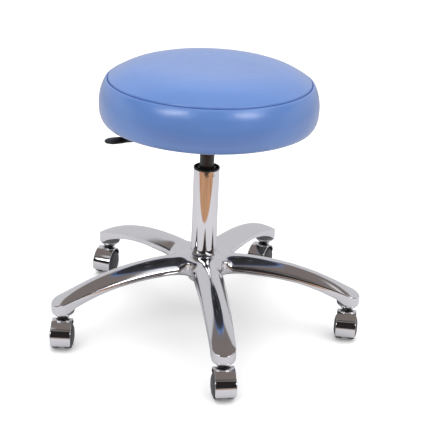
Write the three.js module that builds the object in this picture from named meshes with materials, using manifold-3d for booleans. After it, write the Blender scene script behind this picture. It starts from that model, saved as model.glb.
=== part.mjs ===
// Height-adjustable round stool on a five-star castor base, for dental and medical work.
// Millimetres, +Z up. One arm of the base points along -Y. The origin is on the floor, in the middle of
// the footprint's rectangle, so the column stands at COLUMN_X, COLUMN_Y.
// The seat is 25 mm above its lowest height, and the castors trail as if the stool had just been pushed.

import * as THREE from "three";
import { mergeVertices } from "three/addons/utils/BufferGeometryUtils.js";
import Module from "manifold-3d";

const wasm = await Module();
wasm.setup();

// ---------------------------------------------------------------- driving dimensions

const COLUMN_X = 2.21;
const COLUMN_Y = 39.22;
const ARMS = 5;
const ARM_STEP = (2 * Math.PI) / ARMS;
const HALF_STEP = ARM_STEP / 2;
const FIRST_ARM = -Math.PI / 2;

// Base casting, along one arm: x is the distance from the column's axis.
const TIP_X = 291; // the castor's stem
const TIP_R = 22.1; // half-round end of the arm, in plan
const HALF_WIDTH_AT_AXIS = 31.6; // the arm's half-width, extended back to the axis
const TAPER = (HALF_WIDTH_AT_AXIS - TIP_R) / TIP_X;
const ROOT_X = 60; // the arm's ridge and edges are level inside this
const CROWN = 19; // height of the arm's ridge above its edges, inside ROOT_X
const CROWN_LOSS = 13.5; // how much of that is gone at the tip
const CROWN_POWER = 3.5;
const EDGE_Z = 127.2; // the crease between the crown and the skirt
const EDGE_FALL = 38.7; // the edge's drop EDGE_SPAN outside ROOT_X
const EDGE_SPAN = 240;
const EDGE_POWER = 2.14;
const SKIRT_Z = 117; // the skirt's lower edge
const SKIRT_X = 90;
const SKIRT_FALL = 38;
const SKIRT_SPAN = 185;
const SKIRT_POWER = 2.45;
const ROOT_SAG = 6; // how far the lower edge dips again, ROOT_SAG_SPAN inside SKIRT_X
const ROOT_SAG_SPAN = 40;
const CROTCH_R = 9; // fillet in plan between two arms
const CASTING_WALL = 4;
const HUB_RISE = 14; // the hub's flat dome above EDGE_Z
const HUB_REACH = 68; // radius where that dome is down at EDGE_Z
const HUB_POWER = 6; // the higher, the flatter the dome's middle
const FLARE = 9; // the fillet up the column, FLARE_SPAN inside FLARE_START
const FLARE_START = 37;
const FLARE_SPAN = 12;
const BLEND = 4; // softness of the blend between hub and arms

// Castor boss under each arm's tip.
const BOSS_R = 21.3;
const BOSS_Z = 62.6;
const BOSS_ROUND = 9; // rounding at the bottom
const BOSS_TOP = 81; // inside the arm, below the crown
const STEM_CLEARANCE = 0.6; // radial, between the stem and its hole in the boss

// Inside the casting.
const RIB_T = 4; // stiffening rib under each arm's crown
const RIB_START = 28; // distance of its inner end from the column's axis
const RIB_LIFT = 4; // its lower edge above the skirt's
const RIB_BITE = 2.5; // how far below the crown's outer surface it ends
const SOCKET_R = 29; // the hub's socket for the column, at its foot
const SOCKET_TOP_R = 33;
const SOCKET_FOOT = 88;
const SOCKET_TOP = 134;
const BLEND_LIMIT = 2 * HUB_REACH; // further out, only the arm itself shapes the top

// Column.
const COLUMN_R = 25;
const COLUMN_WALL = 1.5;
const COLUMN_TOP = 318.6;
const COLUMN_FOOT = 84;
const COLUMN_FOOT_R = 24;
const COLUMN_FLOOR = 4; // thickness of the tube's bottom plate
const HUB_BORE_TOP = 156; // the tube tapers below this
const FIT_GAP = 0.3;
const ROD_HOLE_GAP = 1.2; // radial, round the piston rod where it goes through the bottom plate
const SLEEVE_LENGTH = 78; // the guide bush inside the column
const COLLAR_H = 3.4; // the bush's collar above the column

// Gas spring.
const CYLINDER_R = 14;
const CYLINDER_WALL = 2;
const CYLINDER_FOOT = 123;
const CYLINDER_SHOULDER = 346; // the taper that wedges into the seat socket starts here
const CYLINDER_TOP = 383.6;
const CYLINDER_TOP_R = 13.2;
const ROD_R = 5;
const PISTON_Z = 252;
const PISTON_H = 12;
const RELEASE_R = 4;
const RELEASE_TOP = 388;

// Seat.
const SEAM_R = 190.6;
const SEAM_Z = 494;
const DOME_RISE = 29;
const DOME_POWER = 5; // how flat the middle of the seat is
const COVER = 1.6; // vinyl thickness
const BOARD_R = 188;
const BOARD_Z = 412.7;
const BOARD_T = 12;
const PLATE_HALF = 75;
const PLATE_TOP = 408.4;
const PLATE_T = 3;
const PLATE_CORNER = 14; // the plate's cut corners
const BOLT_OFFSET = 60;
const BOLT_R = 3;
const BOLT_HEAD_R = 5.8; // over the hexagon's corners
const BOLT_HEAD_H = 4;
const WASHER_R = 8;
const WASHER_H = 1.4;
const NUT_HOLE_R = BOLT_R + 0.4;
const NUT_BARREL_R = 4.3;
const NUT_FLANGE_R = 9;
const UNDERSIDE_R = 183;
const UNDERSIDE_T = 1.8;
const SEAT_TURN = THREE.MathUtils.degToRad(194); // the lever's direction

// Side of the seat, outside the foam: [radius, height] from the seam down to the stapled edge.
const SIDE = [
  [SEAM_R, SEAM_Z],
  [194.6, 489.5],
  [200.6, 476],
  [204.4, 459],
  [205, 445],
  [204.2, 432],
  [201.6, 420.5],
  [196.6, 413.2],
  [188, 411],
];
const HEM_R = 172; // the side panel's stapled edge, on the board's underside
const HEM_Z = 411;

// Lever, along its own x from the column's axis.
const SOCKET_LOW = 354;
const SEAT_SOCKET_R = 19.5;
const SEAT_SOCKET_TOP_R = 27;
const EAR_IN = 6; // the two ears that hold the lever's pin, from the middle
const EAR_OUT = 9;
const LEVER_PIVOT_X = 36;
const LEVER_PIVOT_Z = 392;
const LEVER_R = 4;
const LEVER_DROOP = THREE.MathUtils.degToRad(0.6);
const PIN_R = 2;

// Castors: x is along the trail, from the stem to the axle.
const TRAIL = 16.5;
const WHEEL_R = 25;
const WHEEL_FLATS = 16;
const WHEEL_IN = 5.5; // inner face, from the castor's middle plane
const TREAD_OUT = 18.5;
const WHEEL_OUT = 23; // crown of the domed outer face
const HOOD_R = 28.8;
const HOOD_SWELL = 3.6; // how much thicker the hood is on top, over SWELL_START to SWELL_END
const SWELL_START = 35; // degrees, from the wheels' front round over the top
const SWELL_END = 105;
const HOOD_IN = 26.4;
const HOOD_HALF = 19;
const WEB_HALF = 4.5;
const HUB_R = 8; // round the axle, between the wheels
const AXLE_R = 3;
const AXLE_HALF = 17.5;
const FLANGE_R = 8.2; // the stem's flange between the neck and the boss
const NECK_R = 10.5;
const NECK_TOP = BOSS_Z - 3.2;
const STEM_R = 5.5;
const STEM_TOP = BOSS_Z + 22;
const GROOVE_LOW = BOSS_Z + 12; // the grip ring's groove in the stem
const GROOVE_HIGH = BOSS_Z + 16.4;
const SPINDLE_R = 4;
const HOOD_TAIL = THREE.MathUtils.degToRad(-27); // lower edge of the hood behind the wheels
const HOOD_NOSE = THREE.MathUtils.degToRad(158); // its edge in front of the neck
// Each castor's trailing direction at rest, in degrees, for the arms in turn from the one along -Y.
const CASTOR_HEADING = [-90, -106, -128, -119, -99];

// ---------------------------------------------------------------- materials

const material = (color, roughness, metalness) =>
  new THREE.MeshStandardMaterial({ color, roughness, metalness });

const POLISHED = material("#d6d6da", 0.08, 1);
const CHROME = material("#dadbe0", 0.05, 1);
const STEEL = material("#9a9da2", 0.35, 1);
const BLACK_STEEL = material("#1b1c1e", 0.4, 0.6);
const BLACK_PLASTIC = material("#141416", 0.38, 0);
const WHEEL_PLASTIC = material("#3a3a40", 0.5, 0);
const VINYL = material("#7295d6", 0.4, 0);
const FOAM = material("#e8d9a0", 0.95, 0);
const PLYWOOD = material("#c39a66", 0.7, 0);
const FELT = material("#1d1d20", 0.9, 0);
const RUBBER = material("#1a1a1a", 0.8, 0);

// ---------------------------------------------------------------- solids

// A closed geometry as a manifold-3d solid that faces outwards.
function solid(geometry) {
  const bare = new THREE.BufferGeometry();
  const source = geometry.index ? geometry.toNonIndexed() : geometry;
  bare.setAttribute("position", source.getAttribute("position"));
  const merged = mergeVertices(bare, 1e-3);
  const index = merged.index.array;
  const triangles = [];
  for (let i = 0; i < index.length; i += 3) {
    const [a, b, c] = [index[i], index[i + 1], index[i + 2]];
    if (a !== b && b !== c && a !== c) triangles.push([a, b, c]);
  }
  const make = (list) =>
    new wasm.Manifold(
      new wasm.Mesh({
        numProp: 3,
        vertProperties: merged.attributes.position.array,
        triVerts: new Uint32Array(list.flat()),
      }),
    );
  const made = make(triangles);
  return made.volume() > 0 ? made : make(triangles.map(([a, b, c]) => [a, c, b]));
}

// The geometry of a manifold-3d solid.
function geometryOf(made) {
  const mesh = made.getMesh();
  const position = new Float32Array(mesh.numVert * 3);
  for (let i = 0; i < mesh.numVert; i++) {
    const start = i * mesh.numProp;
    position.set(mesh.vertProperties.subarray(start, start + 3), i * 3);
  }
  return new THREE.BufferGeometry()
    .setAttribute("position", new THREE.BufferAttribute(position, 3))
    .setIndex(new THREE.BufferAttribute(mesh.triVerts, 1));
}

// A named mesh from a solid or a plain geometry.
function piece(name, shape, look) {
  const made = shape.isBufferGeometry ? solid(shape) : shape;
  const mesh = new THREE.Mesh(geometryOf(made), look);
  mesh.name = name;
  return mesh;
}

const union = (...solids) => solids.reduce((a, b) => a.add(b));
const cut = (body, ...tools) => tools.reduce((a, b) => a.subtract(b), body);

// A solid of revolution about +Z from [radius, height] points that start and end on the axis or form a
// loop.
function turned(profile, segments = 20) {
  const points = profile.map(([r, z]) => new THREE.Vector2(r, z));
  return new THREE.LatheGeometry(points, segments).rotateX(Math.PI / 2);
}

const closed = (points) => [...points, points[0]];
const ring = (inner, outer, low, high) =>
  closed([
    [inner, low],
    [outer, low],
    [outer, high],
    [inner, high],
  ]);
const rod = (radius, low, high, segments = 12) =>
  turned([[0, low], [radius, low], [radius, high], [0, high]], segments);

// A box between two corners.
function block([x0, y0, z0], [x1, y1, z1]) {
  return new THREE.BoxGeometry(x1 - x0, y1 - y0, z1 - z0).translate(
    (x0 + x1) / 2,
    (y0 + y1) / 2,
    (z0 + z1) / 2,
  );
}

// A shape drawn in x (along) and y (up), stood on edge and given its thickness evenly about y = 0.
function upright(shape, thickness, curveSegments = 10) {
  return new THREE.ExtrudeGeometry(shape, {
    depth: thickness,
    bevelEnabled: false,
    curveSegments,
  })
    .translate(0, 0, -thickness / 2)
    .rotateX(Math.PI / 2);
}

// ---------------------------------------------------------------- base casting

const fall = (x, from, span, drop, power) =>
  drop * (Math.max(x - from, 0) / span) ** power;
const edgeZ = (x) => EDGE_Z - fall(x, ROOT_X, EDGE_SPAN, EDGE_FALL, EDGE_POWER);
const skirtZ = (x) =>
  SKIRT_Z -
  fall(x, SKIRT_X, SKIRT_SPAN, SKIRT_FALL, SKIRT_POWER) -
  ROOT_SAG * (Math.max(SKIRT_X - x, 0) / ROOT_SAG_SPAN) ** 2;
const crownHeight = (x) => CROWN - fall(x, ROOT_X, TIP_X - ROOT_X, CROWN_LOSS, CROWN_POWER);
const halfWidth = (x) => HALF_WIDTH_AT_AXIS - TAPER * x;

// The crown of one arm, in its own x and y. Past the outline it goes on falling, which the blend needs.
function crownZ(x, y) {
  const across = x > TIP_X ? Math.hypot(x - TIP_X, y) / TIP_R : y / halfWidth(x);
  return edgeZ(x) + crownHeight(x) * (1 - across ** 2);
}

const hubZ = (r) => EDGE_Z + HUB_RISE * (1 - (r / HUB_REACH) ** HUB_POWER);
const flareZ = (r) => FLARE * (Math.max(FLARE_START - r, 0) / FLARE_SPAN) ** 2;

// The casting's top surface at a point given in one arm's frame: a soft maximum of the hub and the
// nearest arms, with the fillet up the column on top.
function topZ(x, y) {
  const r = Math.hypot(x, y);
  const levels = [hubZ(r)];
  for (const turn of [-ARM_STEP, 0, ARM_STEP]) {
    const along = x * Math.cos(turn) + y * Math.sin(turn);
    const across = y * Math.cos(turn) - x * Math.sin(turn);
    if (along > 0) levels.push(crownZ(along, across));
  }
  const top = Math.max(...levels);
  const rest = levels.reduce((sum, z) => sum + Math.exp((z - top) / BLEND), 0);
  return x < BLEND_LIMIT ? top + BLEND * Math.log(rest) + flareZ(r) : crownZ(x, y);
}

// The fillet between two arms: its centre lies on the line halfway between them.
const CROTCH_CENTRE = (halfWidth(ROOT_X) + CROTCH_R) / Math.sin(HALF_STEP);
const ARM_START = CROTCH_CENTRE * Math.cos(HALF_STEP);
const crotchX = (inset) => (CROTCH_CENTRE - CROTCH_R - inset) * Math.cos(HALF_STEP);

// Half-width of the plan outline, inset by a wall.
function outline(x, inset) {
  const tip = TIP_R - inset;
  if (x >= TIP_X) return Math.sqrt(Math.max(tip ** 2 - (x - TIP_X) ** 2, 0));
  if (x >= ARM_START) return halfWidth(x) - inset;
  if (x <= crotchX(inset)) return x * Math.tan(HALF_STEP);
  const arc = Math.sqrt((CROTCH_R + inset) ** 2 - (ARM_START - x) ** 2);
  return CROTCH_CENTRE * Math.sin(HALF_STEP) - arc;
}

// The star between its top surface, lowered by drop, and a lower surface floorZ(x). The plan is inset by
// a wall.
function star(inset, drop, floorZ, columns, stations) {
  const tip = TIP_R - inset;
  const crotch = crotchX(inset);
  const rows = [24, 30, FLARE_START, crotch];
  for (const share of [0.4, 1]) rows.push(crotch + share * (ARM_START - crotch));
  for (let i = 1; i <= stations; i++) rows.push(ARM_START + (i / stations) * (TIP_X - ARM_START));
  for (const angle of [30, 60, 90])
    rows.push(TIP_X + tip * Math.sin(THREE.MathUtils.degToRad(angle)));
  const firstWall = rows.indexOf(crotch);
  const vertices = [];
  const put = (...points) => points.forEach((p) => vertices.push(...p));

  for (let arm = 0; arm < ARMS; arm++) {
    const turn = arm * ARM_STEP;
    const place = (x, y, z) => [
      x * Math.cos(turn) - y * Math.sin(turn),
      x * Math.sin(turn) + y * Math.cos(turn),
      z,
    ];
    const top = rows.map((x) => {
      const half = outline(x, inset);
      return Array.from({ length: columns + 1 }, (_, j) => {
        const y = half * (-1 + (2 * j) / columns);
        return place(x, y, topZ(x, y) - drop);
      });
    });
    const low = rows.map((x) =>
      [-1, 1].map((side) => place(x, side * outline(x, inset), floorZ(x))),
    );
    for (let j = 0; j < columns; j++)
      put([0, 0, topZ(rows[0], 0) - drop], top[0][j], top[0][j + 1]);
    put([0, 0, floorZ(rows[0])], low[0][1], low[0][0]);
    for (let i = 0; i + 1 < rows.length; i++) {
      for (let j = 0; j < columns; j++) {
        const [a, b, c, d] = [top[i][j], top[i + 1][j], top[i + 1][j + 1], top[i][j + 1]];
        put(a, b, c, a, c, d);
      }
      const [a, b, c, d] = [low[i][0], low[i + 1][0], low[i + 1][1], low[i][1]];
      put(a, c, b, a, d, c);
      if (i < firstWall) continue;
      put(d, top[i][columns], top[i + 1][columns], d, top[i + 1][columns], c);
      put(a, top[i + 1][0], top[i][0], a, b, top[i + 1][0]);
    }
  }
  return new THREE.BufferGeometry().setAttribute(
    "position",
    new THREE.BufferAttribute(new Float32Array(vertices), 3),
  );
}

// A stiffening rib along the middle of one arm, under its crown.
function armRib() {
  const end = TIP_X - BOSS_R + 3;
  const steps = 5;
  const at = (i) => RIB_START + ((end - RIB_START) * i) / steps;
  const shape = new THREE.Shape();
  shape.moveTo(at(0), skirtZ(at(0)) + RIB_LIFT);
  for (let i = 1; i <= steps; i++) shape.lineTo(at(i), skirtZ(at(i)) + RIB_LIFT);
  for (let i = steps; i >= 0; i--) shape.lineTo(at(i), crownZ(at(i), 0) - RIB_BITE);
  return solid(upright(shape, RIB_T));
}

function baseCasting() {
  // The half-round tip's wall drops to the boss; elsewhere the wall ends at the skirt's lower edge.
  const wallFoot = (x) => (x >= TIP_X - 1 ? BOSS_Z + BOSS_ROUND : skirtZ(x));
  const shell = solid(star(0, 0, wallFoot, 4, 7));
  const hollow = solid(star(CASTING_WALL, CASTING_WALL, () => BOSS_Z - 20, 2, 5));
  const socketProfile = [
    [0, SOCKET_FOOT],
    [SOCKET_R, SOCKET_FOOT],
    [SOCKET_R + 2, SOCKET_FOOT + 8],
    [SOCKET_TOP_R, SOCKET_TOP],
    [0, SOCKET_TOP],
  ];
  const socket = solid(turned(socketProfile, 18));
  let body = cut(shell, hollow).add(socket);
  const boss = solid(
    turned(
      [
        [0, BOSS_Z],
        [BOSS_R - BOSS_ROUND, BOSS_Z],
        [BOSS_R - 0.3 * BOSS_ROUND, BOSS_Z + 0.3 * BOSS_ROUND],
        [BOSS_R, BOSS_Z + BOSS_ROUND],
        [BOSS_R, BOSS_TOP],
        [0, BOSS_TOP],
      ],
      20,
    ),
  ).translate([TIP_X, 0, 0]);
  const holeR = STEM_R + STEM_CLEARANCE;
  const stemHole = solid(rod(holeR, BOSS_Z - 5, STEM_TOP + 2, 12)).translate([TIP_X, 0, 0]);
  const rib = armRib();
  for (let arm = 0; arm < ARMS; arm++) {
    const degrees = (arm * 360) / ARMS;
    body = body.add(boss.rotate([0, 0, degrees]));
    body = body.add(rib.rotate([0, 0, degrees]));
    body = body.subtract(stemHole.rotate([0, 0, degrees]));
  }
  const bore = turned(
    [
      [0, COLUMN_FOOT - 20],
      [COLUMN_FOOT_R + FIT_GAP, COLUMN_FOOT - 20],
      [COLUMN_FOOT_R + FIT_GAP, COLUMN_FOOT],
      [COLUMN_R + FIT_GAP, HUB_BORE_TOP - 4],
      [COLUMN_R + FIT_GAP, 240],
      [0, 240],
    ],
    28,
  );
  return piece("base_casting", cut(body, solid(bore)), POLISHED);
}

// ---------------------------------------------------------------- column and gas spring

function columnTube() {
  const inner = COLUMN_R - COLUMN_WALL;
  const profile = closed([
    [ROD_R + ROD_HOLE_GAP, COLUMN_FOOT],
    [COLUMN_FOOT_R, COLUMN_FOOT],
    [COLUMN_R, HUB_BORE_TOP - 4],
    [COLUMN_R, COLUMN_TOP],
    [inner, COLUMN_TOP],
    [inner, HUB_BORE_TOP],
    [COLUMN_FOOT_R - COLUMN_WALL, COLUMN_FOOT + COLUMN_FLOOR],
    [ROD_R + ROD_HOLE_GAP, COLUMN_FOOT + COLUMN_FLOOR],
  ]);
  return piece("column_tube", turned(profile, 28), CHROME);
}

// Plastic guide inside the top of the column, with the dished black collar that shows.
function guideBush() {
  const bore = CYLINDER_R + 0.5;
  const sleeve = COLUMN_R - COLUMN_WALL - FIT_GAP;
  const profile = closed([
    [bore, COLUMN_TOP - SLEEVE_LENGTH],
    [sleeve, COLUMN_TOP - SLEEVE_LENGTH],
    [sleeve, COLUMN_TOP + FIT_GAP],
    [COLUMN_R, COLUMN_TOP + FIT_GAP],
    [COLUMN_R, COLUMN_TOP + COLLAR_H - 0.8],
    [COLUMN_R - 0.8, COLUMN_TOP + COLLAR_H],
    [COLUMN_R - 2.4, COLUMN_TOP + COLLAR_H],
    [COLUMN_R - 4.4, COLUMN_TOP + 1],
    [bore + 1.5, COLUMN_TOP + 0.6],
    [bore, COLUMN_TOP - 1],
  ]);
  return piece("guide_bush", turned(profile, 24), BLACK_PLASTIC);
}

function gasCylinder() {
  const inner = CYLINDER_R - CYLINDER_WALL;
  const profile = closed([
    [inner, CYLINDER_FOOT],
    [CYLINDER_R - 0.8, CYLINDER_FOOT],
    [CYLINDER_R, CYLINDER_FOOT + 0.8],
    [CYLINDER_R, CYLINDER_SHOULDER],
    [CYLINDER_TOP_R, CYLINDER_TOP - 0.8],
    [CYLINDER_TOP_R - 0.8, CYLINDER_TOP],
    [RELEASE_R + FIT_GAP, CYLINDER_TOP],
    [RELEASE_R + FIT_GAP, CYLINDER_TOP - 8],
    [inner - 1, CYLINDER_TOP - 8],
    [inner, CYLINDER_TOP - 12],
  ]);
  return piece("gas_cylinder", turned(profile, 24), BLACK_STEEL);
}

const rodSeal = () =>
  piece(
    "rod_seal",
    turned(
      ring(ROD_R + 0.3, CYLINDER_R - CYLINDER_WALL - FIT_GAP, CYLINDER_FOOT + 1, CYLINDER_FOOT + 11),
      16,
    ),
    RUBBER,
  );

function pistonRod() {
  const neck = 3;
  const profile = [
    [0, COLUMN_FOOT - 4],
    [ROD_R - 1, COLUMN_FOOT - 4],
    [ROD_R - 1, COLUMN_FOOT - 3],
    [neck, COLUMN_FOOT - 3],
    [neck, COLUMN_FOOT - 1],
    [ROD_R, COLUMN_FOOT - 1],
    [ROD_R, PISTON_Z],
    [neck, PISTON_Z],
    [neck, PISTON_Z + PISTON_H + 2],
    [0, PISTON_Z + PISTON_H + 2],
  ];
  return piece("piston_rod", turned(profile, 16), STEEL);
}

function piston() {
  const outer = CYLINDER_R - CYLINDER_WALL - 0.4;
  const [low, high] = [PISTON_Z + FIT_GAP, PISTON_Z + PISTON_H];
  return piece("piston", turned(ring(3.3, outer, low, high), 16), STEEL);
}

const thrustBearing = () =>
  piece(
    "thrust_bearing",
    turned(ring(ROD_R + 0.8, 13, COLUMN_FOOT + 4.3, COLUMN_FOOT + 8.3), 16),
    STEEL,
  );

const rubberBuffer = () =>
  piece(
    "rubber_buffer",
    turned(ring(ROD_R + 0.8, 11, COLUMN_FOOT + 8.6, COLUMN_FOOT + 12.6), 16),
    RUBBER,
  );

// The spring clip that holds the piston rod's foot under the column's bottom plate.
function retainingClip() {
  const opening = block([0, -2, COLUMN_FOOT - 6], [12, 2, COLUMN_FOOT]);
  const washer = solid(turned(ring(3.3, 9, COLUMN_FOOT - 2.7, COLUMN_FOOT - 1.4), 14));
  return piece("retaining_clip", cut(washer, solid(opening)), STEEL);
}

const releasePin = () =>
  piece(
    "release_pin",
    turned(
      [
        [0, CYLINDER_TOP - 7],
        [RELEASE_R, CYLINDER_TOP - 7],
        [RELEASE_R, RELEASE_TOP - 0.8],
        [RELEASE_R - 0.8, RELEASE_TOP],
        [0, RELEASE_TOP],
      ],
      12,
    ),
    STEEL,
  );

// ---------------------------------------------------------------- seat mechanism, in the lever's frame

// Tapered socket that wedges onto the gas spring, with two ears for the lever's pivot.
function seatSocket() {
  const [foot, top] = [SOCKET_LOW, PLATE_TOP - PLATE_T - FIT_GAP];
  const taper = (CYLINDER_R - CYLINDER_TOP_R) / (CYLINDER_TOP - CYLINDER_SHOULDER);
  const boreAt = (z) => CYLINDER_R - taper * (z - CYLINDER_SHOULDER) + FIT_GAP;
  const wall = turned(
    closed([
      [boreAt(foot), foot],
      [SEAT_SOCKET_R, foot],
      [SEAT_SOCKET_R + 2, top - 4],
      [SEAT_SOCKET_TOP_R, top],
      [boreAt(CYLINDER_TOP), top],
      [boreAt(CYLINDER_TOP), CYLINDER_TOP],
    ]),
    24,
  );
  const ears = [-1, 1].map((side) =>
    solid(
      block(
        [18, side > 0 ? EAR_IN : -EAR_OUT, LEVER_PIVOT_Z - 8],
        [LEVER_PIVOT_X + 9, side > 0 ? EAR_OUT : -EAR_IN, top],
      ),
    ),
  );
  const slot = EAR_IN - 0.6; // half-width of the lever's way in
  const window_ = solid(block([5, -slot, CYLINDER_TOP + 0.6], [30, slot, PLATE_TOP]));
  const pinHole = solid(rod(PIN_R + 0.3, -15, 15, 10).rotateX(Math.PI / 2)).translate([
    LEVER_PIVOT_X,
    0,
    LEVER_PIVOT_Z,
  ]);
  const bore = solid(rod(boreAt(CYLINDER_TOP), CYLINDER_TOP + 1, PLATE_TOP, 24));
  return piece("seat_socket", cut(union(solid(wall), ...ears), window_, pinHole, bore), BLACK_STEEL);
}

function seatPlate() {
  const h = PLATE_HALF;
  const short = h - PLATE_CORNER;
  const shape = new THREE.Shape(
    [
      [-short, -h],
      [short, -h],
      [h, -short],
      [h, short],
      [short, h],
      [-short, h],
      [-h, short],
      [-h, -short],
    ].map(([x, y]) => new THREE.Vector2(x, y)),
  );
  for (const [sx, sy] of BOLT_SIGNS) {
    const hole = new THREE.Path();
    hole.absarc(sx * BOLT_OFFSET, sy * BOLT_OFFSET, NUT_HOLE_R, 0, 2 * Math.PI, true);
    shape.holes.push(hole);
  }
  const options = { depth: PLATE_T, bevelEnabled: false, curveSegments: 5 };
  const plate = new THREE.ExtrudeGeometry(shape, options);
  return piece("seat_plate", plate.translate(0, 0, PLATE_TOP - PLATE_T), BLACK_STEEL);
}

const BOLT_SIGNS = [
  [1, 1],
  [-1, 1],
  [-1, -1],
  [1, -1],
];

// A hexagon-head bolt from below, and the tee nut that it screws into from above.
function seatFixings() {
  const headTop = PLATE_TOP - PLATE_T - FIT_GAP;
  const boardTop = BOARD_Z + BOARD_T;
  return BOLT_SIGNS.flatMap(([sx, sy], i) => {
    const head = solid(rod(BOLT_HEAD_R, headTop - BOLT_HEAD_H, headTop, 6));
    const washer = solid(rod(WASHER_R, headTop - WASHER_H, headTop, 12));
    const shank = solid(rod(BOLT_R, headTop - 1, boardTop - 3, 10));
    const bolt = piece(`seat_bolt_${i + 1}`, union(head, washer, shank), STEEL);
    const barrel = ring(NUT_HOLE_R, NUT_BARREL_R, BOARD_Z + 2, boardTop - 0.4);
    const flange = ring(NUT_HOLE_R, NUT_FLANGE_R, boardTop - 1.5, boardTop - 0.4);
    const nut = piece(
      `tee_nut_${i + 1}`,
      solid(turned(barrel, 10)).add(solid(turned(flange, 10))),
      STEEL,
    );
    for (const part of [bolt, nut]) part.position.set(sx * BOLT_OFFSET, sy * BOLT_OFFSET, 0);
    return [bolt, nut];
  });
}

function leverPin() {
  const end = EAR_OUT + 2;
  const headR = PIN_R + 1.4;
  const headTop = -EAR_OUT - 0.4;
  const profile = [
    [0, -end],
    [headR, -end],
    [headR, headTop],
    [PIN_R, headTop],
    [PIN_R, end],
    [0, end],
  ];
  const pin = piece("lever_pin", turned(profile, 10).rotateX(Math.PI / 2), STEEL);
  pin.position.set(LEVER_PIVOT_X, 0, LEVER_PIVOT_Z);
  return pin;
}

// The lever's own frame has its origin at the pivot and its x along the rod.
const LEVER_INNER = -(LEVER_PIVOT_X + 3);
const PADDLE_START = 106;
const PADDLE_END = 168;
const PADDLE_T = 5;
const PADDLE_HALF = 14;
const PADDLE_NECK = 7; // half-width where the paddle leaves the rod
const COLLAR_LENGTH = 36; // the moulding round the rod's end

function leverRod() {
  const bar = rod(LEVER_R, LEVER_INNER, PADDLE_START + COLLAR_LENGTH - 2, 12).rotateY(Math.PI / 2);
  const eye = solid(rod(PIN_R + 0.3, -6, 6, 10).rotateX(Math.PI / 2));
  return piece("lever_rod", cut(solid(bar), eye), BLACK_STEEL);
}

// A flat paddle with a rounded end, moulded over the rod.
function leverPaddle() {
  const [half, neck, corner] = [PADDLE_HALF, PADDLE_NECK, 12];
  const bend = PADDLE_START + COLLAR_LENGTH / 2;
  const broad = PADDLE_START + COLLAR_LENGTH;
  const plan = new THREE.Shape();
  plan.moveTo(PADDLE_START, -neck);
  plan.bezierCurveTo(bend, -neck, bend, -half, broad, -half);
  plan.lineTo(PADDLE_END - corner, -half);
  plan.quadraticCurveTo(PADDLE_END, -half, PADDLE_END, -3);
  plan.lineTo(PADDLE_END, 3);
  plan.quadraticCurveTo(PADDLE_END, half, PADDLE_END - corner, half);
  plan.lineTo(broad, half);
  plan.bezierCurveTo(bend, half, bend, neck, PADDLE_START, neck);
  const options = { depth: PADDLE_T, bevelEnabled: false, curveSegments: 5 };
  const blade = new THREE.ExtrudeGeometry(plan, options).translate(0, 0, -PADDLE_T / 2);
  const collar = rod(LEVER_R + 2.5, PADDLE_START, broad, 14).rotateY(Math.PI / 2);
  const bore = rod(LEVER_R + FIT_GAP, PADDLE_START - 5, broad - 1.6, 12).rotateY(Math.PI / 2);
  const body = cut(union(solid(blade), solid(collar)), solid(bore));
  return piece("lever_paddle", body, BLACK_PLASTIC);
}

// ---------------------------------------------------------------- seat

const sideCurve = new THREE.SplineCurve(SIDE.map(([r, z]) => new THREE.Vector2(r, z)));
const domeZ = (r) => SEAM_Z + DOME_RISE * (1 - (r / SEAM_R) ** DOME_POWER);

// Points of the seat's outer skin, moved inwards by a distance along the profile's own normal.
function skin(points, depth) {
  return points.map(([r, z], i) => {
    if (r === 0) return [0, z - depth];
    const before = points[Math.max(i - 1, 0)];
    const after = points[Math.min(i + 1, points.length - 1)];
    const [dr, dz] = [after[0] - before[0], after[1] - before[1]];
    const length = Math.hypot(dr, dz);
    return [r + (dz / length) * depth, z - (dr / length) * depth];
  });
}

const domeRadii = [0, 110, 150, 174, SEAM_R];
const domePoints = domeRadii.map((r) => [r, domeZ(r)]);
const sidePoints = sideCurve.getPoints(9).map((p) => [p.x, p.y]);
const OUTER_SKIN = [...domePoints, ...sidePoints.slice(1)];
const INNER_SKIN = skin(OUTER_SKIN, COVER);
const SEAM = domePoints.length - 1; // index of the seam in both skins
const SEAM_GAP = 0.25; // each panel stops this far from the seam line
const SEAT_SEGMENTS = 32;

// The point a small distance from a towards b.
function shifted(a, b, distance) {
  const share = distance / Math.hypot(b[0] - a[0], b[1] - a[1]);
  return [a[0] + (b[0] - a[0]) * share, a[1] + (b[1] - a[1]) * share];
}

function coverTop() {
  const half = (points) => [
    ...points.slice(0, SEAM),
    shifted(points[SEAM], points[SEAM - 1], SEAM_GAP),
  ];
  const profile = [...half(INNER_SKIN), ...half(OUTER_SKIN).reverse()];
  return piece("cover_top", turned(profile, SEAT_SEGMENTS), VINYL);
}

// The side panel, turned under the board and stapled there.
function coverBand() {
  const half = (points) => [
    shifted(points[SEAM], points[SEAM + 1], SEAM_GAP),
    ...points.slice(SEAM + 1),
  ];
  const hem = ring(HEM_R, HEM_R, HEM_Z, HEM_Z + COVER - 0.3).slice(1, 3);
  const profile = closed([...half(OUTER_SKIN), ...hem, ...half(INNER_SKIN).reverse()]);
  return piece("cover_band", turned(profile, SEAT_SEGMENTS), VINYL);
}

function seatFoam() {
  const core = skin(OUTER_SKIN, COVER + 1);
  const bottom = BOARD_Z + BOARD_T + 0.4;
  const outline = core.filter(([, z], i) => i !== SEAM && z > bottom + 1).reverse();
  const profile = [[0, bottom], [outline[0][0] - 3, bottom], ...outline];
  return piece("seat_foam", turned(profile, SEAT_SEGMENTS), FOAM);
}

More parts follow.
